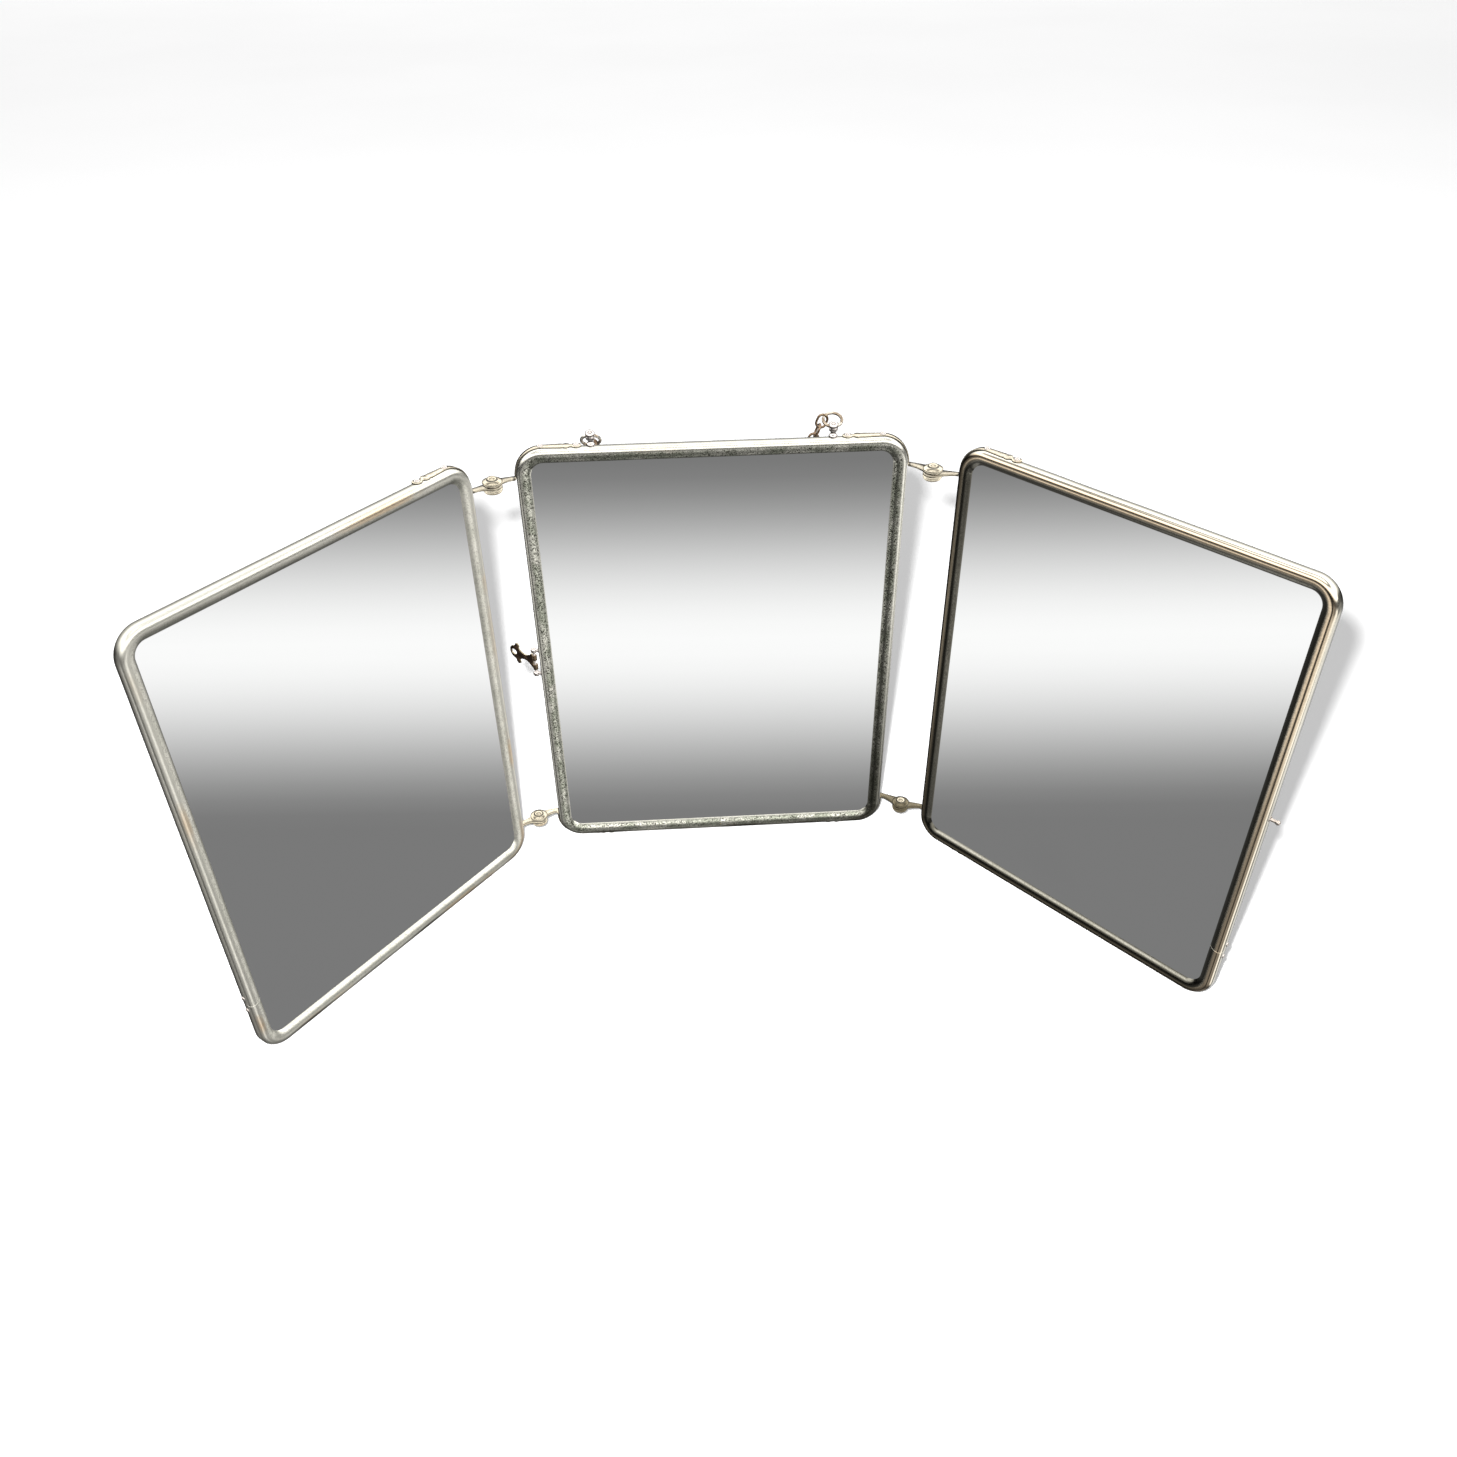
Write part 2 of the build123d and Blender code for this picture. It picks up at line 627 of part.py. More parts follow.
# ---------------------------------------------------------------- place, label and export
turn_left = Location((-hw - pivot_out, -pivot_left, 0), (0, 0, fold_left))
turn_right = Location((hw + pivot_out, -pivot_right, 0), (0, 0, -fold_right))
to_left = Location((-hw - pivot_out, pivot_left, 0))
to_right = Location((hw + pivot_out, pivot_right, 0))
rest = {
    "center": Location((0, 0, 0)),
    "latch": Location((0, 0, 0)),
    "chain": Location((0, 0, 0)),
    "left": turn_left * to_left,
    "right": turn_right * to_right,
}
placed = {}
for name, (part, body) in parts.items():
    placed[name] = rest[body] * part
boxes = [p.bounding_box() for p in placed.values()]
origin = Vector(
    (min(b.min.X for b in boxes) + max(b.max.X for b in boxes)) / 2,
    (min(b.min.Y for b in boxes) + max(b.max.Y for b in boxes)) / 2,
    min(b.min.Z for b in boxes),
)
home = Location(-origin)
for name, part in placed.items():
    final = home * part
    final.label = name
    export_step(final, "parts/" + name + ".step")
print(len(placed), "parts; origin at", tuple(round(v, 3) for v in origin))
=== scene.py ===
import json
import logging
import math
from dataclasses import dataclass, field
from enum import Enum
from typing import Callable, Optional

import bmesh
import bpy
from mathutils import Matrix, Vector

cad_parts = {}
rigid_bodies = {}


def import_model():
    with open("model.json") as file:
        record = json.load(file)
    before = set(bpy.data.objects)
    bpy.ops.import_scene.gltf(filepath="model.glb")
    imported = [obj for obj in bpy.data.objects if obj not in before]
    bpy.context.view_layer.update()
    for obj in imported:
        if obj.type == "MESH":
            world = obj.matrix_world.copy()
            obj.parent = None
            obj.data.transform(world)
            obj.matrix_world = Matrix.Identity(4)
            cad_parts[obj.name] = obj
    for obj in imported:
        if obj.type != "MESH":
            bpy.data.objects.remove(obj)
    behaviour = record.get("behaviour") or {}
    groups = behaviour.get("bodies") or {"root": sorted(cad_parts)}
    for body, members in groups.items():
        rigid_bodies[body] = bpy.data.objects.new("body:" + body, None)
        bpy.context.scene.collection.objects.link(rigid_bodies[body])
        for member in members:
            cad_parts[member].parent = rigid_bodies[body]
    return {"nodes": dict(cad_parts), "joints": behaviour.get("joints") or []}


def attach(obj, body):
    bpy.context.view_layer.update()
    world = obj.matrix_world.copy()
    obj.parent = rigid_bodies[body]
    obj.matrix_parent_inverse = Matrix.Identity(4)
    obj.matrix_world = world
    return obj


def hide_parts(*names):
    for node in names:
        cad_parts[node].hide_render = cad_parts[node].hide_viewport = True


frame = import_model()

MM = 0.001
Point = tuple[float, float, float]
Color = tuple[float, float, float, float]
Path = list[tuple[float, float]]
Obj = bpy.types.Object
Node = bpy.types.Node
Socket = bpy.types.NodeSocket
BMesh = bmesh.types.BMesh
BMVert = bmesh.types.BMVert
FAR_OFF = 99.0

log = logging.getLogger("mirror")


# ------------------------------------------------------------------ named options
class Side(Enum):
    """The three panels; the value is which way a panel lies from the centre one."""

    LEFT = -1
    CENTER = 0
    RIGHT = 1

    @property
    def word(self) -> str:
        """Name used in the nodes of the part."""
        return self.name.lower()

    @property
    def body(self) -> str:
        """Body that the panel's pieces ride on."""
        return self.word + "_panel"


class Level(Enum):
    """Which of the two hinges of a side is meant."""

    TOP = "top"
    BOTTOM = "bottom"


# ------------------------------------------------------------------ sizes of a panel, in mm
@dataclass(frozen=True)
class PanelSize:
    """Sizes shared by the three equal panels, in millimetres."""

    width: float = 198.4
    height: float = 250.0
    corner: float = 14.0
    mould: float = 7.3
    bulge: float = 2.7
    shoulder: float = 2.4
    skin: float = 0.5
    lip: float = 3.6
    bend: float = 0.8
    wall: float = 3.8
    gap: float = 1.3

    @property
    def half(self) -> float:
        """Half of the width."""
        return self.width / 2

    @property
    def mid_y(self) -> float:
        """Depth of the line that the fittings sit on."""
        return self.wall / 2 - 0.15


SIZE = PanelSize()


@dataclass(frozen=True)
class Place:
    """Turns a panel's own millimetres into metres of the shared frame."""

    pivot: Vector
    anchor: tuple[float, float]
    angle: float

    @classmethod
    def of(cls, side: Side) -> "Place":
        """Reads the joints of the record.

        Args:
            side: the panel.

        Returns:
            The place of that panel at rest.
        """
        joints = {j["name"]: j for j in frame["joints"]}
        left = Vector(joints["left_fold"]["pos_m"])
        right = Vector(joints["right_fold"]["pos_m"])
        reach = (right.x - left.x) / 2 / MM
        middle = (left.x + right.x) / 2
        face = left.y + 3.3 * MM
        if side is Side.CENTER:
            return cls(Vector((middle, face, left.z)), (0.0, 0.0), 0.0)
        joint = joints["left_fold" if side is Side.LEFT else "right_fold"]
        pivot = Vector(joint["pos_m"])
        turn = math.radians(180 - max(joint["range_deg"])) * -side.value
        return cls(pivot, (-side.value * reach, (pivot.y - face) / MM), turn)

    def __call__(self, p: Point) -> Vector:
        """Moves one point.

        Args:
            p: x, y, z in the panel's millimetres.

        Returns:
            The point in metres.
        """
        x, y = p[0] - self.anchor[0], p[1] - self.anchor[1]
        c, s = math.cos(self.angle), math.sin(self.angle)
        return self.pivot + Vector((x * c - y * s, x * s + y * c, p[2])) * MM


# ------------------------------------------------------------------ mesh helpers
def arc(cx: float, cy: float, r: float, a0: float, a1: float, n: int) -> Path:
    """Points along an arc.

    Args:
        cx: centre, first axis.
        cy: centre, second axis.
        r: radius.
        a0: start angle in degrees.
        a1: end angle in degrees.
        n: number of steps.

    Returns:
        n + 1 points.
    """
    out = []
    for i in range(n + 1):
        a = math.radians(a0 + (a1 - a0) * i / n)
        out.append((cx + r * math.cos(a), cy + r * math.sin(a)))
    return out


def show(obj: Obj) -> Obj:
    """Puts an object into the scene and gives it back."""
    bpy.context.scene.collection.objects.link(obj)
    return obj


def finish_mesh(bm: BMesh, name: str, place: Callable[[Point], Vector], smooth: float = 40.0) -> Obj:
    """Puts a bmesh drawn in millimetres into the scene as an object at the origin.

    Args:
        bm: the shape; it is freed.
        name: name of the object.
        place: turns millimetres into the shared frame.
        smooth: edges sharper than this many degrees stay sharp.

    Returns:
        The object.
    """
    for v in bm.verts:
        v.co = place(tuple(v.co))
    bmesh.ops.remove_doubles(bm, verts=bm.verts, dist=1e-7)
    bmesh.ops.dissolve_degenerate(bm, edges=bm.edges, dist=1e-8)
    bmesh.ops.recalc_face_normals(bm, faces=bm.faces)
    for f in bm.faces:
        f.smooth = True
    limit = math.radians(smooth)
    for e in bm.edges:
        if len(e.link_faces) == 2:
            e.smooth = e.calc_face_angle(0.0) < limit
    mesh = bpy.data.meshes.new(name)
    bm.to_mesh(mesh)
    bm.free()
    return show(bpy.data.objects.new(name, mesh))


def add_loops(bm: BMesh, loops: list[list[Point]], closed: bool = False, caps: bool = True) -> list[list[BMVert]]:
    """Skins a row of equal closed loops.

    Args:
        bm: mesh that gets the faces.
        loops: the sections, each a list of points.
        closed: whether the last section joins the first.
        caps: whether open ends are filled.

    Returns:
        The vertices of each section.
    """
    rows = [[bm.verts.new(p) for p in loop] for loop in loops]
    n = len(loops[0])
    last = len(rows) if closed else len(rows) - 1
    for i in range(last):
        a, b = rows[i], rows[(i + 1) % len(rows)]
        for k in range(n):
            bm.faces.new((a[k], a[(k + 1) % n], b[(k + 1) % n], b[k]))
    if caps and not closed:
        bm.faces.new(rows[0])
        bm.faces.new(list(reversed(rows[-1])))
    return rows


def add_lathe(
    bm: BMesh, profile: Path, centre: Point, axis: Point = (0, 0, 1), steps: int = 40, ring: bool = False,
) -> list[list[BMVert]]:
    """Turns a profile about an axis.

    Args:
        bm: mesh that gets the faces.
        profile: (radius, height) pairs; a radius of 0 closes an end.
        centre: where height 0 lies.
        axis: direction of growing height.
        steps: number of sections round the axis.
        ring: whether the profile closes on itself.

    Returns:
        The vertices of each profile point.
    """
    turn = Vector(axis).normalized().to_track_quat("Z", "Y").to_matrix()
    base = Vector(centre)
    rows = []
    for r, h in profile:
        if r < 1e-6:
            rows.append([bm.verts.new(base + turn @ Vector((0, 0, h)))])
            continue
        row = []
        for k in range(steps):
            a = 2 * math.pi * k / steps
            row.append(bm.verts.new(base + turn @ Vector((r * math.cos(a), r * math.sin(a), h))))
        rows.append(row)
    pairs = list(zip(rows, rows[1:]))
    if ring:
        pairs.append((rows[-1], rows[0]))
    for a, b in pairs:
        for k in range(steps):
            k2 = (k + 1) % steps
            if len(a) == 1 and len(b) == 1:
                break
            if len(a) == 1:
                bm.faces.new((a[0], b[k2], b[k]))
            elif len(b) == 1:
                bm.faces.new((a[k], a[k2], b[0]))
            else:
                bm.faces.new((a[k], a[k2], b[k2], b[k]))
    return rows


# ------------------------------------------------------------------ node helper
class Graph:
    """Adds linked nodes to a node tree."""

    def __init__(self, tree: bpy.types.NodeTree) -> None:
        """Takes the tree to fill.

        Args:
            tree: the tree.
        """
        self.tree = tree

    def node(self, kind: str, links: Optional[dict[object, object]] = None, **props: object) -> Node:
        """Adds a node.

        Args:
            kind: node type.
            links: input name or number to a socket or a plain value.
            props: properties of the node.

        Returns:
            The node.
        """
        node = self.tree.nodes.new(kind)
        for key, value in props.items():
            setattr(node, key, value)
        self.fill(node, links or {})
        return node

    def fill(self, node: Node, links: dict[object, object]) -> None:
        """Links or sets inputs of a node.

        Args:
            node: the node.
            links: input name or number to a socket or a plain value.
        """
        for key, value in links.items():
            if isinstance(value, Socket):
                self.tree.links.new(value, node.inputs[key])
            else:
                node.inputs[key].default_value = value

    def math(self, op: str, a: object, b: object = 0.0) -> Socket:
        """Math node.

        Args:
            op: the operation.
            a: first value.
            b: second value.

        Returns:
            The result.
        """
        return self.node("ShaderNodeMath", {0: a, 1: b}, operation=op).outputs[0]

    def mix(self, share: object, a: object, b: object, mode: str = "MIX") -> Socket:
        """Mixes two colours.

        Args:
            share: how much of the second.
            a: first colour.
            b: second colour.
            mode: blend mode.

        Returns:
            The mixed colour.
        """
        links = {0: share, 6: a, 7: b}
        return self.node("ShaderNodeMix", links, data_type="RGBA", blend_type=mode).outputs[2]


class Nodes(Graph):
    """Small builder for a material's node tree."""

    def __init__(self, name: str) -> None:
        """Makes a material with a shader and an output.

        Args:
            name: name of the material.
        """
        self.material = bpy.data.materials.new(name)
        self.material.use_nodes = True
        super().__init__(self.material.node_tree)
        self.tree.nodes.clear()
        out = self.tree.nodes.new("ShaderNodeOutputMaterial")
        self.shader = self.tree.nodes.new("ShaderNodeBsdfPrincipled")
        self.tree.links.new(self.shader.outputs[0], out.inputs[0])
        self.coords = self.tree.nodes.new("ShaderNodeTexCoord").outputs["Object"]

    def set(self, **values: object) -> None:
        """Sets sockets of the shader; underscores stand for spaces.

        Args:
            values: a number, a colour, or a socket to link, for each name.
        """
        self.fill(self.shader, {key.replace("_", " "): value for key, value in values.items()})

    def stretch(self, scale: Point) -> Socket:
        """Object coordinates scaled on each axis.

        Args:
            scale: scale on each axis.

        Returns:
            The scaled coordinates.
        """
        return self.node("ShaderNodeMapping", {"Vector": self.coords, "Scale": scale}).outputs[0]

    def noise(
        self, scale: float, detail: float = 4.0, rough: float = 0.55,
        source: Optional[Socket] = None, warp: float = 0.0,
    ) -> Socket:
        """Noise texture.

        Args:
            scale: cells per metre.
            detail: octaves.
            rough: weight of the finer octaves.
            source: coordinates; the object's own when left out.
            warp: distortion.

        Returns:
            The noise value.
        """
        links = {"Vector": source or self.coords, "Scale": scale, "Detail": detail}
        links.update({"Roughness": rough, "Distortion": warp})
        return self.node("ShaderNodeTexNoise", links).outputs[0]

    def cells(self, scale: float) -> Socket:
        """Distance to the nearest point of a scatter.

        Args:
            scale: cells per metre.

        Returns:
            The distance.
        """
        return self.node("ShaderNodeTexVoronoi", {"Vector": self.coords, "Scale": scale}).outputs["Distance"]

    def attribute(self, name: str) -> Socket:
        """Value of the mesh attribute with that name."""
        return self.node("ShaderNodeAttribute", attribute_name=name).outputs["Fac"]

    def span(self, value: Socket, low: float, high: float, to_low: float = 0.0, to_high: float = 1.0) -> Socket:
        """Maps a value from one range to another with soft ends.

        Args:
            value: the socket.
            low: input that gives to_low.
            high: input that gives to_high.
            to_low: output at low.
            to_high: output at high.

        Returns:
            The mapped value.
        """
        links = {"Value": value, "From Min": low, "From Max": high, "To Min": to_low, "To Max": to_high}
        return self.node("ShaderNodeMapRange", links, interpolation_type="SMOOTHSTEP").outputs[0]

    def bump(self, height: Socket, depth: float, strength: float = 1.0, under: Optional[Socket] = None) -> Socket:
        """Bump from a height.

        Args:
            height: the height.
            depth: real depth in metres of a height of one.
            strength: share of the effect.
            under: normal of a bump below this one.

        Returns:
            The normal.
        """
        links: dict[object, object] = {"Distance": depth, "Strength": strength, "Height": height}
        if under:
            links["Normal"] = under
        return self.node("ShaderNodeBump", links).outputs[0]


# ------------------------------------------------------------------ finishes
@dataclass(frozen=True)
class WornNickel:
    """Old nickel plate: pale, softly tarnished, brass where it is worn, speckled with fine pits, and darkened by
    painted shade where the shade attribute is set.
    """

    name: str
    plate: Color = (1.0, 0.97, 0.86, 1)
    tarnish: Color = (0.38, 0.41, 0.31, 1)
    brass: Color = (0.95, 0.74, 0.50, 1)
    # Dark colour used both for real pits and for painted shade.
    grime: Color = (0.045, 0.042, 0.03, 1)
    tarnish_share: float = 0.4
    brass_share: float = 0.1
    speckle: float = 0.5
    rough: float = 0.24
    sloped: bool = False

    def build(self) -> bpy.types.Material:
        """Builds the node tree.

        Returns:
            The material.
        """
        n = Nodes(self.name)
        cloud = n.noise(34, 5, 0.6, warp=0.3)
        fine = n.noise(1300, 4, 0.7)
        mid = n.noise(420, 5, 0.7)
        stain = n.math("MULTIPLY", n.span(cloud, 0.38, 0.72), self.tarnish_share)
        stain = n.math("ADD", stain, n.math("MULTIPLY", n.span(mid, 0.45, 0.75), self.tarnish_share * 0.5))
        color = n.mix(stain, self.plate, self.tarnish)
        worn = n.span(n.noise(16, 4, 0.6, warp=0.5), 0.74 - 0.6 * self.brass_share, 0.86 - 0.5 * self.brass_share)
        if self.sloped:
            worn = n.math("MULTIPLY", worn, n.span(n.attribute("crest"), 0.1, 0.8))
        color = n.mix(n.math("MULTIPLY", worn, 0.85), color, self.brass)
        grains = n.math("MULTIPLY", n.span(fine, 0.46, 0.60), n.span(mid, 0.32, 0.55, 0.25, 1.0))
        holes = n.math("MULTIPLY", n.span(n.cells(1100), 0.20, 0.10), n.span(n.noise(210, 3, 0.6), 0.5, 0.62))
        pits = n.math("MAXIMUM", grains, holes)
        if self.sloped:
            slope = n.attribute("slope")
            patchy = n.span(n.noise(95, 4, 0.65, warp=0.2), 0.38, 0.60, 0.15, 0.8)
            patchy = n.math("MULTIPLY", patchy, self.speckle)
            color = n.mix(n.math("MULTIPLY", slope, patchy), color, self.tarnish)
            pits = n.math("MULTIPLY", pits, n.math("ADD", n.math("MULTIPLY", slope, 0.9), 0.1))
        pits = n.math("MULTIPLY", pits, self.speckle)
        color = n.mix(pits, color, self.grime)
        # Painted shade: the shade attribute pulls the plate towards the grime-and-shade colour.
        shade = n.attribute("shade")
        color = n.mix(n.math("MULTIPLY", shade, 0.92), color, self.grime)
        rough = n.span(fine, 0.3, 0.7, self.rough - 0.04, self.rough + 0.05)
        rough = n.math("ADD", rough, n.math("MULTIPLY", stain, 0.10))
        rough = n.math("ADD", rough, n.math("MULTIPLY", pits, 0.25))
        bent = n.bump(cloud, 0.00020, 0.3)
        bent = n.bump(n.math("SUBTRACT", 1.0, pits), 0.00006, 0.5, bent)
        n.set(Base_Color=color, Metallic=1.0, Roughness=rough, Normal=bent)
        return n.material


@dataclass(frozen=True)
class MirrorSilver:
    """Silvered glass seen from the front: nearly perfect, with the faintest haze and edge tarnish."""

    name: str
    silver: Color = (0.96, 0.965, 0.96, 1)
    haze: Color = (0.945, 0.95, 0.945, 1)

    def build(self) -> bpy.types.Material:
        """Builds the node tree.

        Returns:
            The material.
        """
        n = Nodes(self.name)
        cloud = n.noise(9, 5, 0.6)
        color = n.mix(n.span(cloud, 0.55, 0.8), self.silver, self.haze)
        rim = n.span(n.attribute("rim"), 0.2, 1.0)
        spots = n.span(n.noise(330, 5, 0.75), 0.58, 0.7)
        color = n.mix(n.math("MULTIPLY", rim, n.math("MULTIPLY", spots, 0.7)), color, (0.16, 0.15, 0.12, 1))
        rough = n.span(n.noise(40, 3, 0.5), 0.3, 0.8, 0.004, 0.02)
        n.set(Base_Color=color, Metallic=1.0, Roughness=rough)
        return n.material


@dataclass(frozen=True)
class AgedBrass:
    """Brass or bronze gone brown, bright where it rubs; the edge attribute also brightens marked rims, partly rubbed
    wear and partly painted highlight.
    """

    name: str
    dark: Color = (0.16, 0.10, 0.05, 1)
    mid: Color = (0.42, 0.29, 0.15, 1)
    bright: Color = (0.85, 0.74, 0.50, 1)
    rub: float = 0.35
    rough: float = 0.3

    def build(self) -> bpy.types.Material:
        """Builds the node tree.

        Returns:
            The material.
        """
        n = Nodes(self.name)
        cloud = n.noise(260, 6, 0.7, warp=0.5)
        color = n.mix(n.span(cloud, 0.38, 0.62), self.dark, self.mid)
        rubbed = n.span(n.noise(150, 4, 0.6), 0.62 - 0.2 * self.rub, 0.72 - 0.15 * self.rub)
        # The edge attribute paints bright rims: partly rubbed wear, partly painted highlight.
        edge = n.attribute("edge")
        rubbed = n.math("MAXIMUM", n.math("MULTIPLY", rubbed, self.rub * 1.6), edge)
        color = n.mix(rubbed, color, self.bright)
        pits = n.span(n.cells(2200), 0.16, 0.06)
        color = n.mix(n.math("MULTIPLY", pits, 0.6), color, (0.02, 0.014, 0.01, 1))
        rough = n.span(cloud, 0.3, 0.7, self.rough + 0.12, self.rough - 0.06)
        bent = n.bump(cloud, 0.0001, 0.5)
        bent = n.bump(n.noise(1800, 4, 0.6), 0.00003, 0.4, bent)
        n.set(Base_Color=color, Metallic=1.0, Roughness=rough, Normal=bent)
        return n.material


@dataclass(frozen=True)
class PressedBoard:
    """Black pressed board with a leather-like grain and scuffs."""

    name: str
    base: Color = (0.022, 0.021, 0.020, 1)
    scuff: Color = (0.10, 0.09, 0.075, 1)
    grain: float = 750.0

    def build(self) -> bpy.types.Material:
        """Builds the node tree.

        Returns:
            The material.
        """
        n = Nodes(self.name)
        cells = n.cells(self.grain)
        wide = n.noise(30, 5, 0.65)
        rubbed = n.math("MULTIPLY", n.span(wide, 0.55, 0.75), n.span(cells, 0.5, 0.1))
        color = n.mix(n.math("MULTIPLY", rubbed, 0.8), self.base, self.scuff)
        color = n.mix(n.span(n.noise(120, 4, 0.6), 0.4, 0.7, 0.0, 0.25), color, self.scuff)
        rough = n.span(cells, 0.0, 0.6, 0.42, 0.62)
        bent = n.bump(cells, 0.00012, 0.8)
        bent = n.bump(wide, 0.0004, 0.3, bent)
        n.set(Base_Color=color, Roughness=rough, Normal=bent)
        return n.material


@dataclass(frozen=True)
class PlainCard:
    """Grey-brown packing card behind the glass."""

    name: str
    base: Color = (0.30, 0.24, 0.17, 1)
    fibre: Color = (0.42, 0.36, 0.27, 1)

    def build(self) -> bpy.types.Material:
        """Builds the node tree.

        Returns:
            The material.
        """
        n = Nodes(self.name)
        strand = n.noise(500, 4, 0.6, n.stretch((1, 1, 0.2)))
        color = n.mix(n.span(strand, 0.45, 0.65), self.base, self.fibre)
        n.set(Base_Color=color, Roughness=n.span(strand, 0.3, 0.7, 0.8, 0.92), Normal=n.bump(strand, 0.00005, 0.4))
        return n.material


# ------------------------------------------------------------------ dressing
class Workshop:
    """Holds the built finishes and dresses each piece."""

    def __init__(self) -> None:
        """Builds every finish once."""
        finishes = {
            "moulding_left": WornNickel(
                "moulding_nickel_left", sloped=True, tarnish_share=0.15, brass_share=0.4, speckle=0.28, rough=0.36
            ),
            "moulding_center": WornNickel(
                "moulding_nickel_center", sloped=True, tarnish_share=0.22, brass_share=0.25, speckle=1.0, rough=0.26
            ),
            "moulding_right": WornNickel(
                "moulding_nickel_right", plate=(0.97, 0.93, 0.80, 1), tarnish=(0.45, 0.42, 0.31, 1),
                sloped=True, tarnish_share=0.3, brass_share=0.9, speckle=0.3, rough=0.13,
            ),
            "hinge": WornNickel(
                "hinge_nickel", plate=(0.84, 0.75, 0.58, 1), tarnish=(0.30, 0.26, 0.17, 1), tarnish_share=0.35,
                brass_share=0.35, speckle=0.35, rough=0.09,
            ),
            # Darker copy of the hinge finish for the bottom right hinge: painted shade, with more tarnish.
            "hinge_dark": WornNickel(
                "hinge_nickel_dark", plate=(0.24, 0.20, 0.13, 1), tarnish=(0.10, 0.09, 0.055, 1), tarnish_share=0.6,
                brass_share=0.2, speckle=0.4, rough=0.18,
            ),
            "fitting": WornNickel(
                "fitting_nickel", plate=(0.92, 0.84, 0.78, 1), tarnish=(0.44, 0.36, 0.30, 1), tarnish_share=0.3,
                brass_share=0.3, speckle=0.25, rough=0.08,
            ),
            "mirror": MirrorSilver("mirror_glass"),
            "chain": AgedBrass("chain_brass", dark=(0.20, 0.12, 0.07, 1), mid=(0.46, 0.33, 0.22, 1), rub=0.4),
            "ring": AgedBrass(
                "ring_brass", dark=(0.30, 0.22, 0.15, 1), mid=(0.72, 0.60, 0.46, 1), bright=(1.0, 0.93, 0.80, 1),
                rub=0.6, rough=0.22,
            ),
            "bronze": AgedBrass(
                "latch_bronze", dark=(0.05, 0.028, 0.016, 1), mid=(0.14, 0.08, 0.04, 1), bright=(0.80, 0.70, 0.48, 1),
                rub=0.12, rough=0.26,
            ),
            "raw": AgedBrass("raw_brass", dark=(0.28, 0.19, 0.08, 1), mid=(0.52, 0.37, 0.16, 1), rub=0.3),
            "board": PressedBoard("back_board"),
            "card": PlainCard("packing_card"),
        }
        self.finishes = {key: finish.build() for key, finish in finishes.items()}

    def dress(self, obj: Obj, finish: str, body: str, nodes: tuple[str, ...]) -> Obj:
        """Gives a piece its finish and ties it to its body and nodes.

        Args:
            obj: the piece.
            finish: key of the finish.
            body: body it rides on.
            nodes: nodes it stands for.

        Returns:
            The piece.
        """
        obj.data.materials.clear()
        obj.data.materials.append(self.finishes[finish])
        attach(obj, body)
        if nodes:
            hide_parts(*nodes)
        obj.visible_glossy = False
        log.info("built %s on %s (%d faces)", obj.name, body, len(obj.data.polygons))
        return obj

    def paint_node(self, node: str, finish: str) -> None:
        """Gives a carried-over node a finish.

        Args:
            node: name of the node.
            finish: key of the finish.
        """
        obj = frame["nodes"][node]
        obj.data.materials.clear()
        obj.data.materials.append(self.finishes[finish])
        obj.visible_glossy = False
        log.info("painted %s", node)


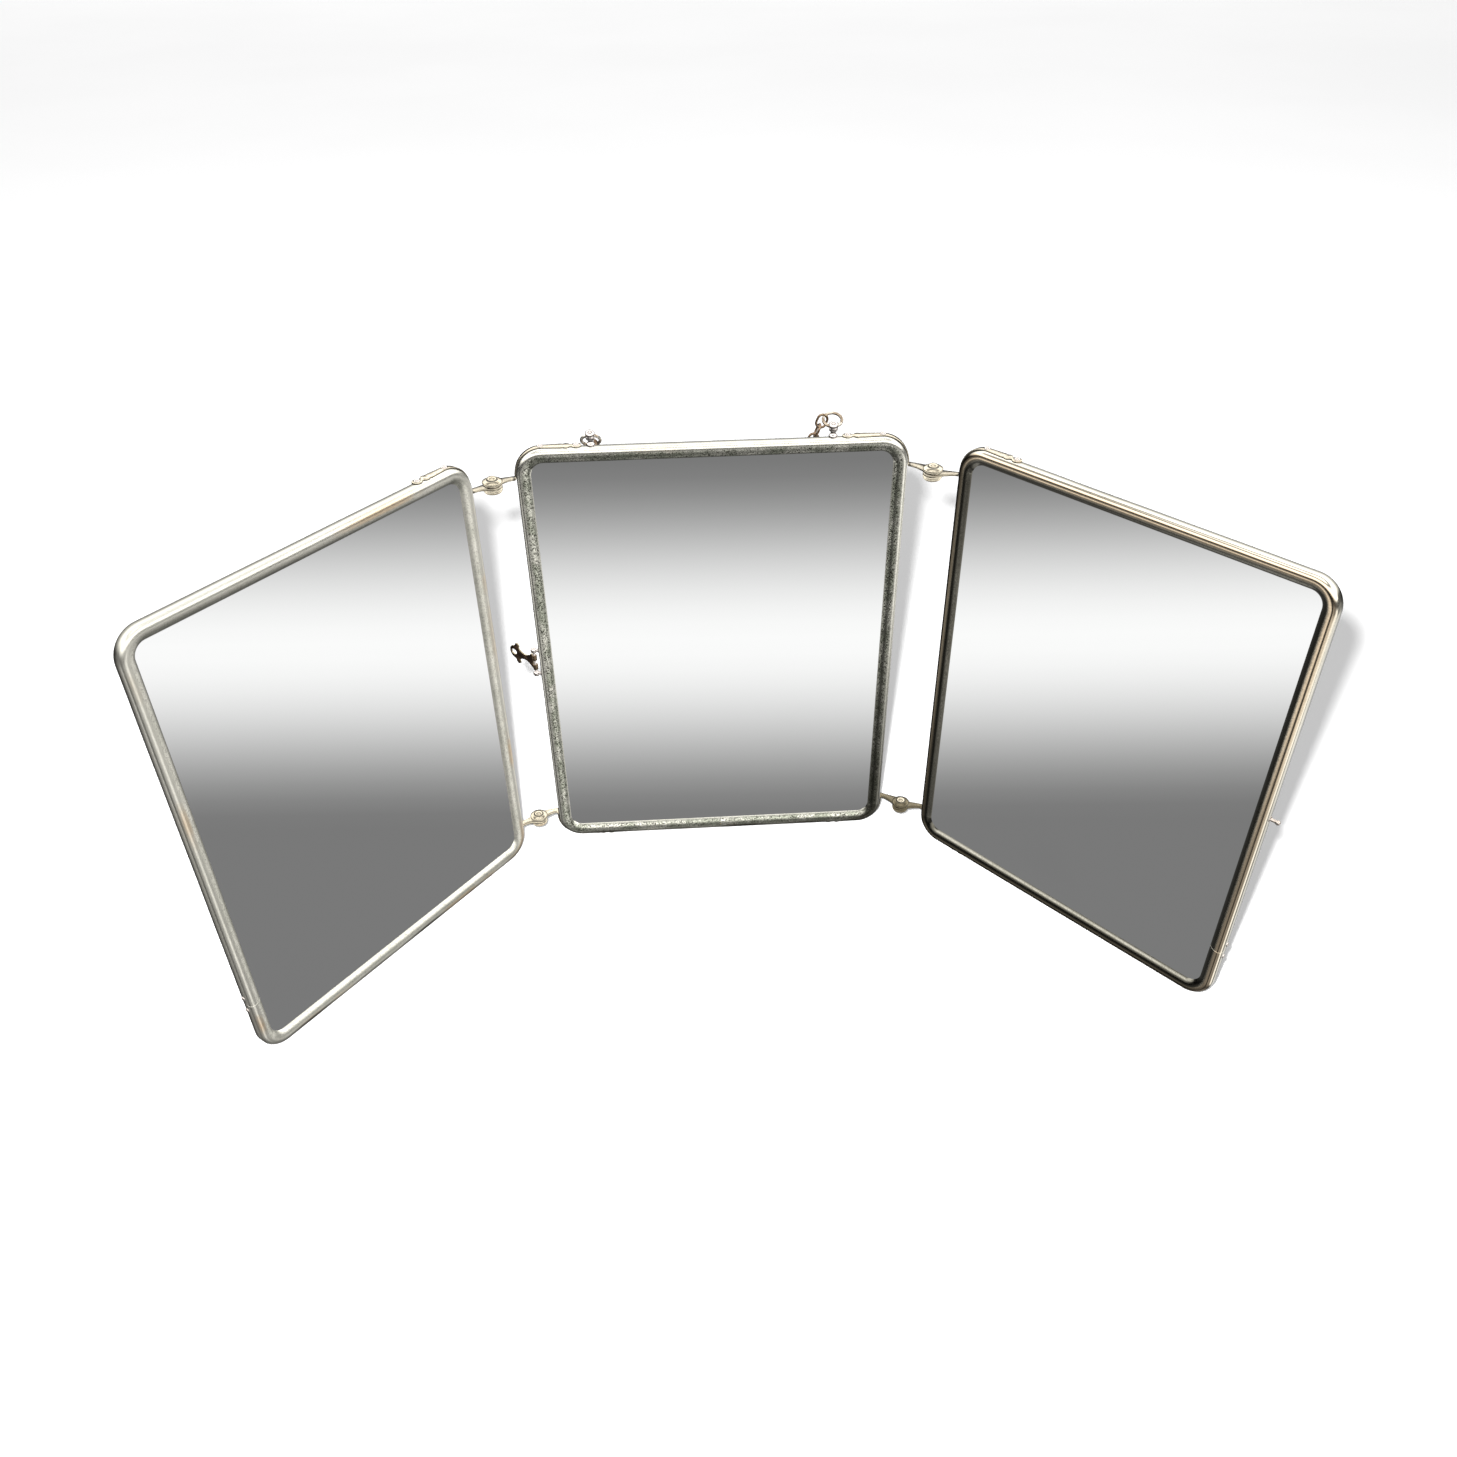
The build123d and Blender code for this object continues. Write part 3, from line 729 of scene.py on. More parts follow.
# ------------------------------------------------------------------ the moulding
@dataclass
class Moulding:
    """Rolled channel round a panel: lip, rounded crest, outer wall and back lip, with a butt seam."""

    side: Side
    seam_height: float = 36.7
    seam_width: float = 0.2
    ripple: float = 0.10
    slope_from: float = 2.9
    corner_steps: int = 14

    def route(self) -> list[tuple[float, float, float, float]]:
        """Rounded rectangle from one side of the seam round to the other.

        Returns:
            (x, z, outward x, outward z) for each station.
        """
        s = SIZE
        x1, z1 = s.half - s.corner, s.height - s.corner
        pts: list[tuple[float, float, float, float]] = []

        def straight(a: tuple[float, float], b: tuple[float, float], n: tuple[float, float], step: float = 4.0) -> None:
            """Adds stations along a straight run.

            Args:
                a: start.
                b: end.
                n: outward direction.
                step: spacing in millimetres.
            """
            length = math.hypot(b[0] - a[0], b[1] - a[1])
            k = max(1, round(length / step))
            for i in range(k + 1):
                t = i / k
                pts.append((a[0] + (b[0] - a[0]) * t, a[1] + (b[1] - a[1]) * t, n[0], n[1]))

        def corner(cx: float, cz: float, a0: float) -> None:
            """Adds stations round a corner.

            Args:
                cx: centre, x.
                cz: centre, z.
                a0: start angle in degrees.
            """
            for i in range(1, self.corner_steps):
                a = math.radians(a0 + 90 * i / self.corner_steps)
                c, q = math.cos(a), math.sin(a)
                pts.append((cx + s.corner * c, cz + s.corner * q, c, q))

        gap = self.seam_width / 2
        if self.side is Side.CENTER:
            straight((gap, 0), (x1, 0), (0, -1))
            corner(x1, s.corner, -90)
            straight((s.half, s.corner), (s.half, z1), (1, 0))
        else:
            straight((s.half, self.seam_height + gap), (s.half, z1), (1, 0))
        corner(x1, z1, 0)
        straight((x1, s.height), (-x1, s.height), (0, 1))
        corner(-x1, z1, 90)
        straight((-s.half, z1), (-s.half, s.corner), (-1, 0))
        corner(-x1, s.corner, 180)
        if self.side is Side.CENTER:
            straight((-x1, 0), (-gap, 0), (0, -1))
        else:
            straight((-x1, 0), (x1, 0), (0, -1))
            corner(x1, s.corner, -90)
            straight((s.half, s.corner), (s.half, self.seam_height - gap), (1, 0))
        if self.side is Side.LEFT:
            pts = [(-x, z, -nx, nz) for x, z, nx, nz in pts]
        return pts

    def section(self) -> list[tuple[float, float, float, float, float]]:
        """Closed section of the channel.

        Returns:
            (depth, inset, slope mask, crest mask, painted shade mask) for each point.
        """
        s = SIZE
        crest = s.mould - s.shoulder
        cr = (crest ** 2 + s.bulge ** 2) / (2 * s.bulge)
        depth = cr - s.bulge
        sh = -(s.bulge - s.shoulder)
        ci = cr - s.skin
        t_in = s.shoulder + math.sqrt(ci ** 2 - depth ** 2)
        a_out = math.degrees(math.atan2(crest, -depth))
        a_in = math.degrees(math.atan2(t_in - s.shoulder, -depth))
        run = [(s.wall, s.lip), (s.wall, 2.4)]
        run += arc(s.wall - s.bend, s.bend, s.bend, 0, -90, 5)
        run += [(1.9, 0.0), (0.8, 0.0)]
        run += arc(sh, s.shoulder, s.shoulder, -90, -180, 9)
        run += arc(depth, s.shoulder, cr, 180, a_out, 12)[1:]
        outer = len(run)
        run += [(0.0, (s.mould + t_in) / 2), (0.0, t_in)]
        run += arc(depth, s.shoulder, ci, a_in, 180, 8)[1:]
        run += arc(sh, s.shoulder, s.shoulder - s.skin, -180, -90, 6)[1:]
        run += arc(s.wall - s.bend, s.bend, s.bend - s.skin, -90, 0, 3)
        run += [(s.wall - s.skin, s.lip)]
        out = []
        for i, (d, t) in enumerate(run):
            shown = i < outer
            # The slope mask fades out over the last 0.4 mm by the glass, leaving a thin brighter strip there: a painted
            # highlight.
            slope = max(
                0.0, min(1.0, (t - self.slope_from) / 1.3)
            ) * (1 - max(0.0, min(1.0, (t - 6.7) / 0.4))) if shown and d < 0.6 else 0.0
            crown = math.exp(-((t - 2.2) / 1.8) ** 2) if shown and d < 1.2 else 0.0
            # Painted shade: the outer wall darkens as it runs back, and faces hidden inside the channel are fully dark.
            shade = max(0.0, min(1.0, (d - 0.4) / 2.0)) if shown else 1.0
            out.append((d, t, slope, crown, shade))
        return out

    def gloom(self, station: tuple[float, float, float, float], t: float) -> float:
        """Extra darkening for the shade attribute: painted shade on the runs that face down; on the right panel also a
        dark hinge-side run and a darker inner part of the outer run; on the centre panel a right run that darkens
        towards the bottom and a bottom run that darkens towards the right.

        Args:
            station: x, z, outward x and outward z of a place on the route.
            t: distance in from the outer wall.

        Returns:
            A share from 0 to 1.
        """
        x, z, nx, nz = station
        # Painted shade: runs that face down are darkened.
        low = max(0.0, -nz)
        if self.side is Side.RIGHT:
            inner = 1.0 if t < 5.8 else max(0.6, 1 - (t - 5.8))
            outer = 0.6 * max(0.0, nx) * max(0.0, min(1.0, (t - 2.8) / 1.2))
            return low * inner + 0.92 * max(0.0, -nx) + outer
        lumps = 0.55 + 0.45 * math.sin(x / 9.0) * math.sin(x / 23.0 + 1.0)
        dark = low * lumps * max(0.0, min(1.0, (3.6 - t) / 1.0))
        if self.side is Side.CENTER:
            fall = max(0.0, min(1.0, 1.2 - 1.5 * z / SIZE.height))
            across = max(0.0, min(1.0, x / SIZE.half))
            dark += 0.9 * max(0.0, nx) * fall + 0.75 * low * across * max(0.0, min(1.0, (5.0 - t) / 1.0))
        return dark

    def build(self, shop: Workshop) -> Obj:
        """Sweeps the section round the route.

        Args:
            shop: finishes.

        Returns:
            The moulding.
        """
        place = Place.of(self.side)
        route, section = self.route(), self.section()
        bm = bmesh.new()
        slope = bm.verts.layers.float.new("slope")
        crown = bm.verts.layers.float.new("crest")
        shade = bm.verts.layers.float.new("shade")
        uv = bm.loops.layers.uv.new("UVMap")
        along = 0.0
        rows, runs = [], []
        for i, (x, z, nx, nz) in enumerate(route):
            if i:
                along += math.hypot(x - route[i - 1][0], z - route[i - 1][1])
            wave = 0.5 + 0.5 * math.sin(along / 11.0) * math.sin(along / 37.0 + self.side.value + 0.6)
            row = []
            for d, t, *_ in section:
                dent = self.ripple * wave * max(0.0, min(1.0, (d - 0.6) / 1.6)) if 0.6 < d else 0.0
                q = t + (dent if t < 1.2 else 0.0)
                row.append((x - nx * q, d, z - nz * q))
            rows.append(row)
            runs.append(along)
        made = add_loops(bm, rows)
        girth = [0.0]
        for a, b in zip(section, section[1:]):
            girth.append(girth[-1] + math.hypot(b[0] - a[0], b[1] - a[1]))
        where = {}
        for i, row in enumerate(made):
            for k, v in enumerate(row):
                v[slope], v[crown], v[shade] = section[k][2:]
                # The section's painted shade and the extra darkening from gloom go into the shade attribute.
                v[shade] = min(1.0, v[shade] + self.gloom(route[i], section[k][1]))
                where[v] = (runs[i] * MM, girth[k] * MM)
        for f in bm.faces:
            for loop in f.loops:
                loop[uv].uv = where[loop.vert]
        obj = finish_mesh(bm, "moulding_" + self.side.word, place, 55)
        return shop.dress(
            obj, "moulding_" + self.side.word, self.side.body, ("frame_" + self.side.word,)
        )


# ------------------------------------------------------------------ flat sheets
@dataclass
class Sheet:
    """Flat sheet with rounded corners held by the moulding: the mirror glass or the back board."""

    side: Side
    name: str
    node: str
    front: float
    thick: float
    finish: str
    slot: str
    inset: float = SIZE.skin + SIZE.gap
    ease: float = 0.3

    def outline(self, inset: float) -> Path:
        """Rounded rectangle.

        Args:
            inset: distance in from the panel's outer edge.

        Returns:
            The corner points.
        """
        r = SIZE.corner - inset
        x, z = SIZE.half - SIZE.corner, SIZE.height - SIZE.corner
        out: Path = []
        for cx, cz, a in ((x, SIZE.corner, -90), (x, z, 0), (-x, z, 90), (-x, SIZE.corner, 180)):
            out += arc(cx, cz, max(r, 0.6), a, a + 90, 10)
        return out

    def build(self, shop: Workshop) -> Obj:
        """Builds the sheet.

        Args:
            shop: finishes.

        Returns:
            The sheet.
        """
        bm = bmesh.new()
        rim = bm.verts.layers.float.new("rim")
        back = self.front + self.thick
        steps = [
            (self.inset + 9, self.front, 0.0), (self.inset + 6.6, self.front, 0.25),
            (self.inset + self.ease, self.front, 1.0),
            (self.inset, self.front + self.ease, 1.0), (self.inset, back - 0.05, 1.0), (self.inset + 0.05, back, 1.0),
            (self.inset + 9, back, 0.0),
        ]
        rows = add_loops(bm, [[(x, y, z) for x, z in self.outline(inset)] for inset, y, _ in steps])
        for row, (_, _, edge) in zip(rows, steps):
            for v in row:
                v[rim] = edge
        obj = finish_mesh(bm, self.name + "_" + self.side.word, Place.of(self.side), 25)
        return shop.dress(obj, self.finish, self.side.body, (self.node + "_" + self.side.word,))


# ------------------------------------------------------------------ hinges
@dataclass
class HingeStrap:
    """Strap that runs along the panel's edge, round its corner, and out to the hinge as a flat tongue."""

    side: Side
    level: Level
    owner: Side
    thick: float = 0.96
    far: float = 31.2
    disc: float = 4.95
    half: float = 1.7
    wide: float = 2.2
    bend: float = 0.5
    out: float = 12.0
    inset: float = 16.4
    tip: float = 2.6

    @property
    def forward(self) -> float:
        """How far in front of the face the hinge axis lies."""
        return 3.3 if self.side is Side.LEFT else 6.9

    def low(self) -> float:
        """Lower face of the tongue as drawn at a top corner.

        Returns:
            Its height in millimetres.
        """
        zc = SIZE.height - self.inset if self.level is Level.TOP else self.inset
        z = zc + 0.2 if self.owner is Side.CENTER else zc - 1.3
        return z if self.level is Level.TOP else SIZE.height - z - 1.0

    def leaf(self, x: float) -> float:
        """Half width of the scalloped leaf on the panel's edge.

        Args:
            x: distance past the end rivet.

        Returns:
            The half width.
        """
        best = 0.05
        if abs(x) < self.tip:
            best = max(best, math.sqrt(self.tip ** 2 - x ** 2))
        if 0.5 <= x <= 5.5:
            best = max(best, 1.3)
        for at, off, r in ((5.2, 0.75, 1.85), (8.4, 0.5, 1.8)):
            if abs(x - at) < r:
                best = max(best, off + math.sqrt(r ** 2 - (x - at) ** 2))
        end = self.far - SIZE.corner
        if 5.2 <= x <= 8.2:
            best = max(best, 2.0 + 0.25 * (x - 5.2) / 3)
        if x > 8.2:
            best = max(best, 2.25 - (2.25 - self.half) * (x - 8.2) / (end - 8.2))
        return best

    def stations(self) -> list[tuple[Vector, Vector, float, float]]:
        """Sections from the end rivet to the hinge disc.

        Returns:
            (centre x and z, outward direction, front y, back y) for each.
        """
        s = SIZE
        mid, h = s.mid_y, 0.5
        xe, x1, z1 = s.half - self.far, s.half - s.corner, s.height - s.corner
        low = self.low()
        xb, px, py = s.half + 1.0 + self.bend, s.half + self.out, -self.forward
        made: list[tuple[Vector, Vector, float, float]] = []
        up = Vector((0, 1))
        spots = [-self.tip * math.cos(math.pi * i / 20) for i in range(17)]
        spots += [
            2.3, 2.6, 2.9, 3.2, 3.36, 3.45, 3.6, 3.8, 4.1, 4.6, 5.2, 5.8, 6.3, 6.62, 6.8, 7.1, 7.6, 8.4, 9.2, 9.8, 10.2,
            11, 12.5, 14, 15.6,
        ]
        for x in spots:
            w = self.leaf(x)
            made.append((Vector((xe + x, s.height + h)), up, mid - w, mid + w))
        for i in range(13):
            a = math.radians(90 - 90 * i / 12)
            d = Vector((math.cos(a), math.sin(a)))
            made.append((Vector((x1, z1)) + d * (s.corner + h), d, mid - self.half, mid + self.half))
        right = Vector((1, 0))
        top_z, end_z = z1 - 0.4, low + 1.0 + self.bend
        for i in range(1, 5):
            t = i / 4
            w = self.half + (self.wide - self.half) * t
            if top_z - end_z > 0.2 or i == 4:
                made.append((Vector((s.half + h, top_z + (end_z - top_z) * t)), right, mid - w, mid + w))
        for i in range(1, 7):
            a = math.radians(180 + 90 * i / 6)
            d = Vector((math.cos(a), math.sin(a)))
            spot = Vector((xb, low + 1.0 + self.bend)) + d * (self.bend + h)
            made.append((spot, d, mid - self.wide, mid + self.wide))
        ux, uy = px - xb, py - mid
        un = math.hypot(ux, uy)
        nx, ny = -uy / un, ux / un
        bx, by = px + nx * 4.6, py + ny * 4.6
        fx, fy = px - nx * 4.4 - ux / un, py - ny * 4.4 - uy / un
        dy = (mid - self.wide + fy) / 2 + ny * 1.5
        down = Vector((0, -1))
        end = px + self.disc - 0.02
        xs = [xb + (px - xb) * i / 12 for i in range(1, 13)]
        xs += [px + self.disc * math.sin(math.pi / 2 * i / 9) for i in range(1, 9)] + [end]
        for x in xs:
            back = mid + self.wide + (by - mid - self.wide) * (x - xb) / (bx - xb) if x < bx else -FAR_OFF
            t = (x - xb) / (fx - xb)
            a, c = mid - self.wide, fy
            ctrl = 2 * dy - (a + c) / 2
            front = (1 - t) ** 2 * a + 2 * t * (1 - t) * ctrl + t * t * c if x < fx else FAR_OFF
            if abs(x - px) < self.disc:
                w = math.sqrt(self.disc ** 2 - (x - px) ** 2)
                back, front = max(back, py + w), min(front, py - w)
            made.append((Vector((x, low + h)), down, front, back))
        return made

    def build(self, shop: Workshop) -> Obj:
        """Skins the sections into a strap with eased edges.

        Args:
            shop: finishes.

        Returns:
            The strap.
        """
        flip = self.side.value if self.owner is Side.CENTER else -self.side.value
        bm = bmesh.new()
        loops = []
        h = self.thick / 2
        for spot, out, front, back in self.stations():
            e = min(0.28, (back - front) / 2 * 0.7)
            q = e * 0.3
            ring = [
                (front, -h + e), (front + q, -h + q), (front + e, -h), (back - e, -h), (back - q, -h + q), (back, -h + e),
                (back, h - e), (back - q, h - q), (back - e, h), (front + e, h), (front + q, h - q), (front, h - e),
            ]
            loop = []
            for y, t in ring:
                x, z = spot + out * t
                z = SIZE.height - z if self.level is Level.BOTTOM else z
                loop.append((x * flip, y, z))
            loops.append(loop)
        # Painted shade: the face that lies against the moulding is darkened fully along the leaf and wall, so dark
        # lines run along the contact edges; out on the tongue the same side is darkened at 0.35.
        shade = bm.verts.layers.float.new("shade")
        wall = SIZE.half + 1.0
        for row in add_loops(bm, loops):
            for k in (0, 1, 2, 3, 4, 5):
                row[k][shade] = 1.0 if abs(row[k].co.x) < wall + 0.6 else 0.35
        role = "center" if self.owner is Side.CENTER else "side"
        label = f"{self.level.value}_{self.side.word}"
        obj = finish_mesh(bm, f"strap_{label}_{role}", Place.of(self.owner), 50)
        # The bottom right hinge takes the darker copy of the hinge finish: painted shade.
        dark = self.side is Side.RIGHT and self.level is Level.BOTTOM
        return shop.dress(
            obj, "hinge_dark" if dark else "hinge", self.owner.body, (f"hinge_{label}_{role}_strap",)
        )


@dataclass
class HingeBarrel:
    """Cups and domed rivet that clamp the two tongues."""

    side: Side
    level: Level
    out: float = 12.0
    inset: float = 16.4

    def depth(self, name: str, r: float, h: float) -> float:
        """How much painted shade a turned edge gets in its grooves, recesses and undersides.

        Args:
            name: the turned piece.
            r: radius.
            h: height.

        Returns:
            A share from 0 to 1.
        """
        if name == "upper_cup":
            return 1.0 if r < 3.05 or r == 4.5 else 0.0
        if name == "lower_cup":
            return 1.0 if r in (3.9, 4.1, 4.2) else 0.22 * max(0.0, -h - 0.6)
        return 0.8 if h < -3.9 or (1.0 < r and h < 3.12) else 0.0

    def build(self, shop: Workshop) -> list[Obj]:
        """Turns the cups and the rivet.

        Args:
            shop: finishes.

        Returns:
            The three pieces.
        """
        label = f"{self.level.value}_{self.side.word}"
        x = self.side.value * (SIZE.half + self.out)
        y = -3.3 if self.side is Side.LEFT else -6.9
        z = SIZE.height - self.inset if self.level is Level.TOP else self.inset
        upper = [
            (1.5, 0), (4.5, 0), (4.5, 0.3), (4.95, 0.33), (5.12, 0.42), (5.2, 0.56), (5.17, 0.78), (5.02, 0.98),
            (4.78, 1.15),
        ]
        upper += [(4.4, 1.33), (3.9, 1.52), (3.35, 1.7), (3.15, 1.74), (2.95, 1.66), (2.55, 1.66), (1.5, 1.7)]
        lower = [
            (1.5, -2.6), (3.2, -2.6), (3.5, -2.56), (3.95, -2.42), (4.25, -2.24), (4.4, -2.06), (4.3, -2.0),
            (3.9, -1.98),
        ]
        lower += [(3.9, -1.66), (4.45, -1.64), (4.68, -1.54), (4.8, -1.36), (4.72, -1.18), (4.45, -1.10), (4.1, -1.08)]
        lower += [
            (4.1, -0.72), (4.6, -0.70), (4.88, -0.60), (5.0, -0.42), (4.92, -0.26), (4.6, -0.18), (4.2, -0.16),
            (4.2, 0), (1.5, 0),
        ]
        dome = [(2.6 * math.cos(a * math.pi / 20), 3.2 + 1.28 * math.sin(a * math.pi / 20)) for a in range(0, 10)]
        foot = [(2.4 * math.sin(a * math.pi / 16), -4.0 - 0.7 * math.cos(a * math.pi / 16)) for a in range(1, 8)]
        shaft = [(0, -4.7)] + foot + [(2.4, -4.0), (1.5, -4.0), (1.5, 3.0), (2.55, 3.05)] + dome + [(0, 4.48)]
        made = []
        for name, profile, height in (
            ("upper_cup", upper, z + 1.2), ("lower_cup", lower, z - 1.4), ("rivet", shaft, z)
        ):
            bm = bmesh.new()
            shade = bm.verts.layers.float.new("shade")
            # Painted shade in the grooves, recesses and undersides, from depth().
            for (r, h), row in zip(profile, add_lathe(bm, profile, (x, y, height), steps=56, ring=name != "rivet")):
                for v in row:
                    v[shade] = self.depth(name, r, h)
            obj = finish_mesh(bm, f"{name}_{label}", Place.of(Side.CENTER), 50)
            # The bottom right cups take the darker copy of the hinge finish: painted shade.
            dark = self.side is Side.RIGHT and self.level is Level.BOTTOM and name != "rivet"
            look = "hinge_dark" if dark else "hinge"
            made.append(shop.dress(obj, look, "center_panel", (f"hinge_{label}_{name}",)))
        return made


# ------------------------------------------------------------------ node trees for repeated shapes
class GeometryTree(Graph):
    """Small builder for a geometry node tree that scatters one shape over points."""

    def __init__(self, name: str) -> None:
        """Makes an empty tree with a geometry input and output.

        Args:
            name: name of the tree.
        """
        super().__init__(bpy.data.node_groups.new(name, "GeometryNodeTree"))
        face = self.tree.interface
        face.new_socket("Geometry", in_out="INPUT", socket_type="NodeSocketGeometry")
        face.new_socket("Geometry", in_out="OUTPUT", socket_type="NodeSocketGeometry")
        self.source = self.tree.nodes.new("NodeGroupInput")
        self.target = self.tree.nodes.new("NodeGroupOutput")
        self.ids: dict[str, str] = {}

    def input(self, name: str, kind: str, default: object = None) -> str:
        """Adds a named input.

        Args:
            name: its name.
            kind: socket type.
            default: value when it isn't set.

        Returns:
            The name, to read the socket by.
        """
        socket = self.tree.interface.new_socket(name, in_out="INPUT", socket_type=kind)
        if default is not None:
            socket.default_value = default
        self.ids[name] = socket.identifier
        return name

    def read(self, name: str) -> Socket:
        """Output of the group input with that name."""
        return self.source.outputs[name]

    def close(self, instances: Socket) -> None:
        """Realizes the instances, sets the material, smooths and ends the tree.

        Args:
            instances: the instances.
        """
        real = self.node("GeometryNodeRealizeInstances", {0: instances})
        dressed = self.node("GeometryNodeSetMaterial", {0: real.outputs[0], "Material": self.read("Material")})
        smooth = self.node("GeometryNodeSetShadeSmooth", {0: dressed.outputs[0]})
        self.tree.links.new(smooth.outputs[0], self.target.inputs[0])

    def bake(
        self, name: str, points: list[Vector], vectors: dict[str, list[Vector]], floats: dict[str, list[float]],
        values: dict[str, object],
    ) -> Obj:
        """Runs the tree over points and keeps the result as a plain mesh.

        Args:
            name: name of the object.
            points: where the shapes go, in metres.
            vectors: vector attributes of the points.
            floats: number attributes of the points.
            values: values of the named inputs.

        Returns:
            The object.
        """
        mesh = bpy.data.meshes.new(name + "_points")
        mesh.from_pydata([tuple(p) for p in points], [], [])
        for key, rows in vectors.items():
            layer = mesh.attributes.new(key, "FLOAT_VECTOR", "POINT")
            for i, v in enumerate(rows):
                layer.data[i].vector = v
        for key, numbers in floats.items():
            layer = mesh.attributes.new(key, "FLOAT", "POINT")
            for i, v in enumerate(numbers):
                layer.data[i].value = v
        holder = show(bpy.data.objects.new(name + "_holder", mesh))
        modifier = holder.modifiers.new("scatter", "NODES")
        modifier.node_group = self.tree
        for key, value in values.items():
            modifier[self.ids[key]] = value
        graph = bpy.context.evaluated_depsgraph_get()
        made = bpy.data.meshes.new_from_object(holder.evaluated_get(graph), depsgraph=graph)
        made.name = name
        holder.modifiers.clear()
        bpy.data.objects.remove(holder)
        bpy.data.meshes.remove(mesh)
        return show(bpy.data.objects.new(name, made))


def heads_tree() -> GeometryTree:
    """Domed heads with a short shank, aimed by an attribute.

    Returns:
        The tree.
    """
    t = GeometryTree("domed_heads")
    for name, default in (("Head Radius", 1.7 * MM), ("Shank Radius", 0.8 * MM), ("Shank Length", 1.5 * MM)):
        t.input(name, "NodeSocketFloat", default)
    t.input("Material", "NodeSocketMaterial")
    ball = t.node("GeometryNodeMeshUVSphere", {"Segments": 24, "Rings": 16, "Radius": 1.0})
    spot = t.node("GeometryNodeInputPosition")
    parts = t.node("ShaderNodeSeparateXYZ", {0: spot.outputs[0]})
    floor = t.node("ShaderNodeMath", {0: parts.outputs[2], 1: -0.12}, operation="MAXIMUM")
    joined = t.node("ShaderNodeCombineXYZ", {0: parts.outputs[0], 1: parts.outputs[1], 2: floor.outputs[0]})
    cap = t.node("GeometryNodeSetPosition", {0: ball.outputs[0], "Position": joined.outputs[0]})
    size = t.node(
        "ShaderNodeCombineXYZ", {0: t.read("Head Radius"), 1: t.read("Head Radius"), 2: t.read("Head Radius")}
    )
    head = t.node("GeometryNodeTransform", {0: cap.outputs[0], "Scale": size.outputs[0]})
    stem = t.node(
        "GeometryNodeMeshCylinder", {"Vertices": 16, "Radius": t.read("Shank Radius"), "Depth": t.read("Shank Length")}
    )
    drop = t.node("ShaderNodeMath", {0: t.read("Shank Length"), 1: -0.5}, operation="MULTIPLY")
    below = t.node("ShaderNodeCombineXYZ", {2: drop.outputs[0]})
    moved = t.node("GeometryNodeTransform", {0: stem.outputs[0], "Translation": below.outputs[0]})
    aim = t.node("GeometryNodeInputNamedAttribute", {"Name": "aim"}, data_type="FLOAT_VECTOR")
    turn = t.node("FunctionNodeAlignRotationToVector", {"Vector": aim.outputs[0]}, axis="Z")
    rise = t.node("GeometryNodeInputNamedAttribute", {"Name": "rise"}, data_type="FLOAT")
    scale = t.node("ShaderNodeCombineXYZ", {0: 1.0, 1: 1.0, 2: rise.outputs[0]})
    placed = []
    for shape, links in ((head, {"Scale": scale.outputs[0]}), (moved, {})):
        spread = {0: t.source.outputs[0], "Instance": shape.outputs[0], "Rotation": turn.outputs[0], **links}
        placed.append(t.node("GeometryNodeInstanceOnPoints", spread))
    both = t.node("GeometryNodeJoinGeometry")
    for one in placed:
        t.tree.links.new(one.outputs[0], both.inputs[0])
    t.close(both.outputs[0])
    return t


def links_tree() -> GeometryTree:
    """Oval wire links on points, turned by two attributes.

    Returns:
        The tree.
    """
    t = GeometryTree("chain_links")
    for name, default in (("Link Length", 8.0 * MM), ("Link Width", 6.2 * MM), ("Wire Radius", 0.64 * MM)):
        t.input(name, "NodeSocketFloat", default)
    t.input("Material", "NodeSocketMaterial")
    wire2 = t.node("ShaderNodeMath", {0: t.read("Wire Radius"), 1: 2.0}, operation="MULTIPLY")
    long = t.node("ShaderNodeMath", {0: t.read("Link Length"), 1: wire2.outputs[0]}, operation="SUBTRACT")
    wide = t.node("ShaderNodeMath", {0: t.read("Link Width"), 1: wire2.outputs[0]}, operation="SUBTRACT")
    bend = t.node("ShaderNodeMath", {0: wide.outputs[0], 1: 0.499}, operation="MULTIPLY")
    oval = t.node("GeometryNodeCurvePrimitiveQuadrilateral", {"Width": long.outputs[0], "Height": wide.outputs[0]})
    round_ = t.node("GeometryNodeFilletCurve", {0: oval.outputs[0], "Radius": bend.outputs[0], "Count": 6}, mode="POLY")
    wire = t.node("GeometryNodeCurvePrimitiveCircle", {"Resolution": 10, "Radius": t.read("Wire Radius")})
    body = t.node("GeometryNodeCurveToMesh", {0: round_.outputs[0], 1: wire.outputs[0]})
    along = t.node("GeometryNodeInputNamedAttribute", {"Name": "along"}, data_type="FLOAT_VECTOR")
    face = t.node("GeometryNodeInputNamedAttribute", {"Name": "face"}, data_type="FLOAT_VECTOR")
    first = t.node("FunctionNodeAlignRotationToVector", {"Vector": along.outputs[0]}, axis="X")
    second = t.node(
        "FunctionNodeAlignRotationToVector", {"Rotation": first.outputs[0], "Vector": face.outputs[0]}, axis="Z",
        pivot_axis="X",
    )
    spread = t.node(
        "GeometryNodeInstanceOnPoints",
        {0: t.source.outputs[0], "Instance": body.outputs[0], "Rotation": second.outputs[0]},
    )
    t.close(spread.outputs[0])
    return t


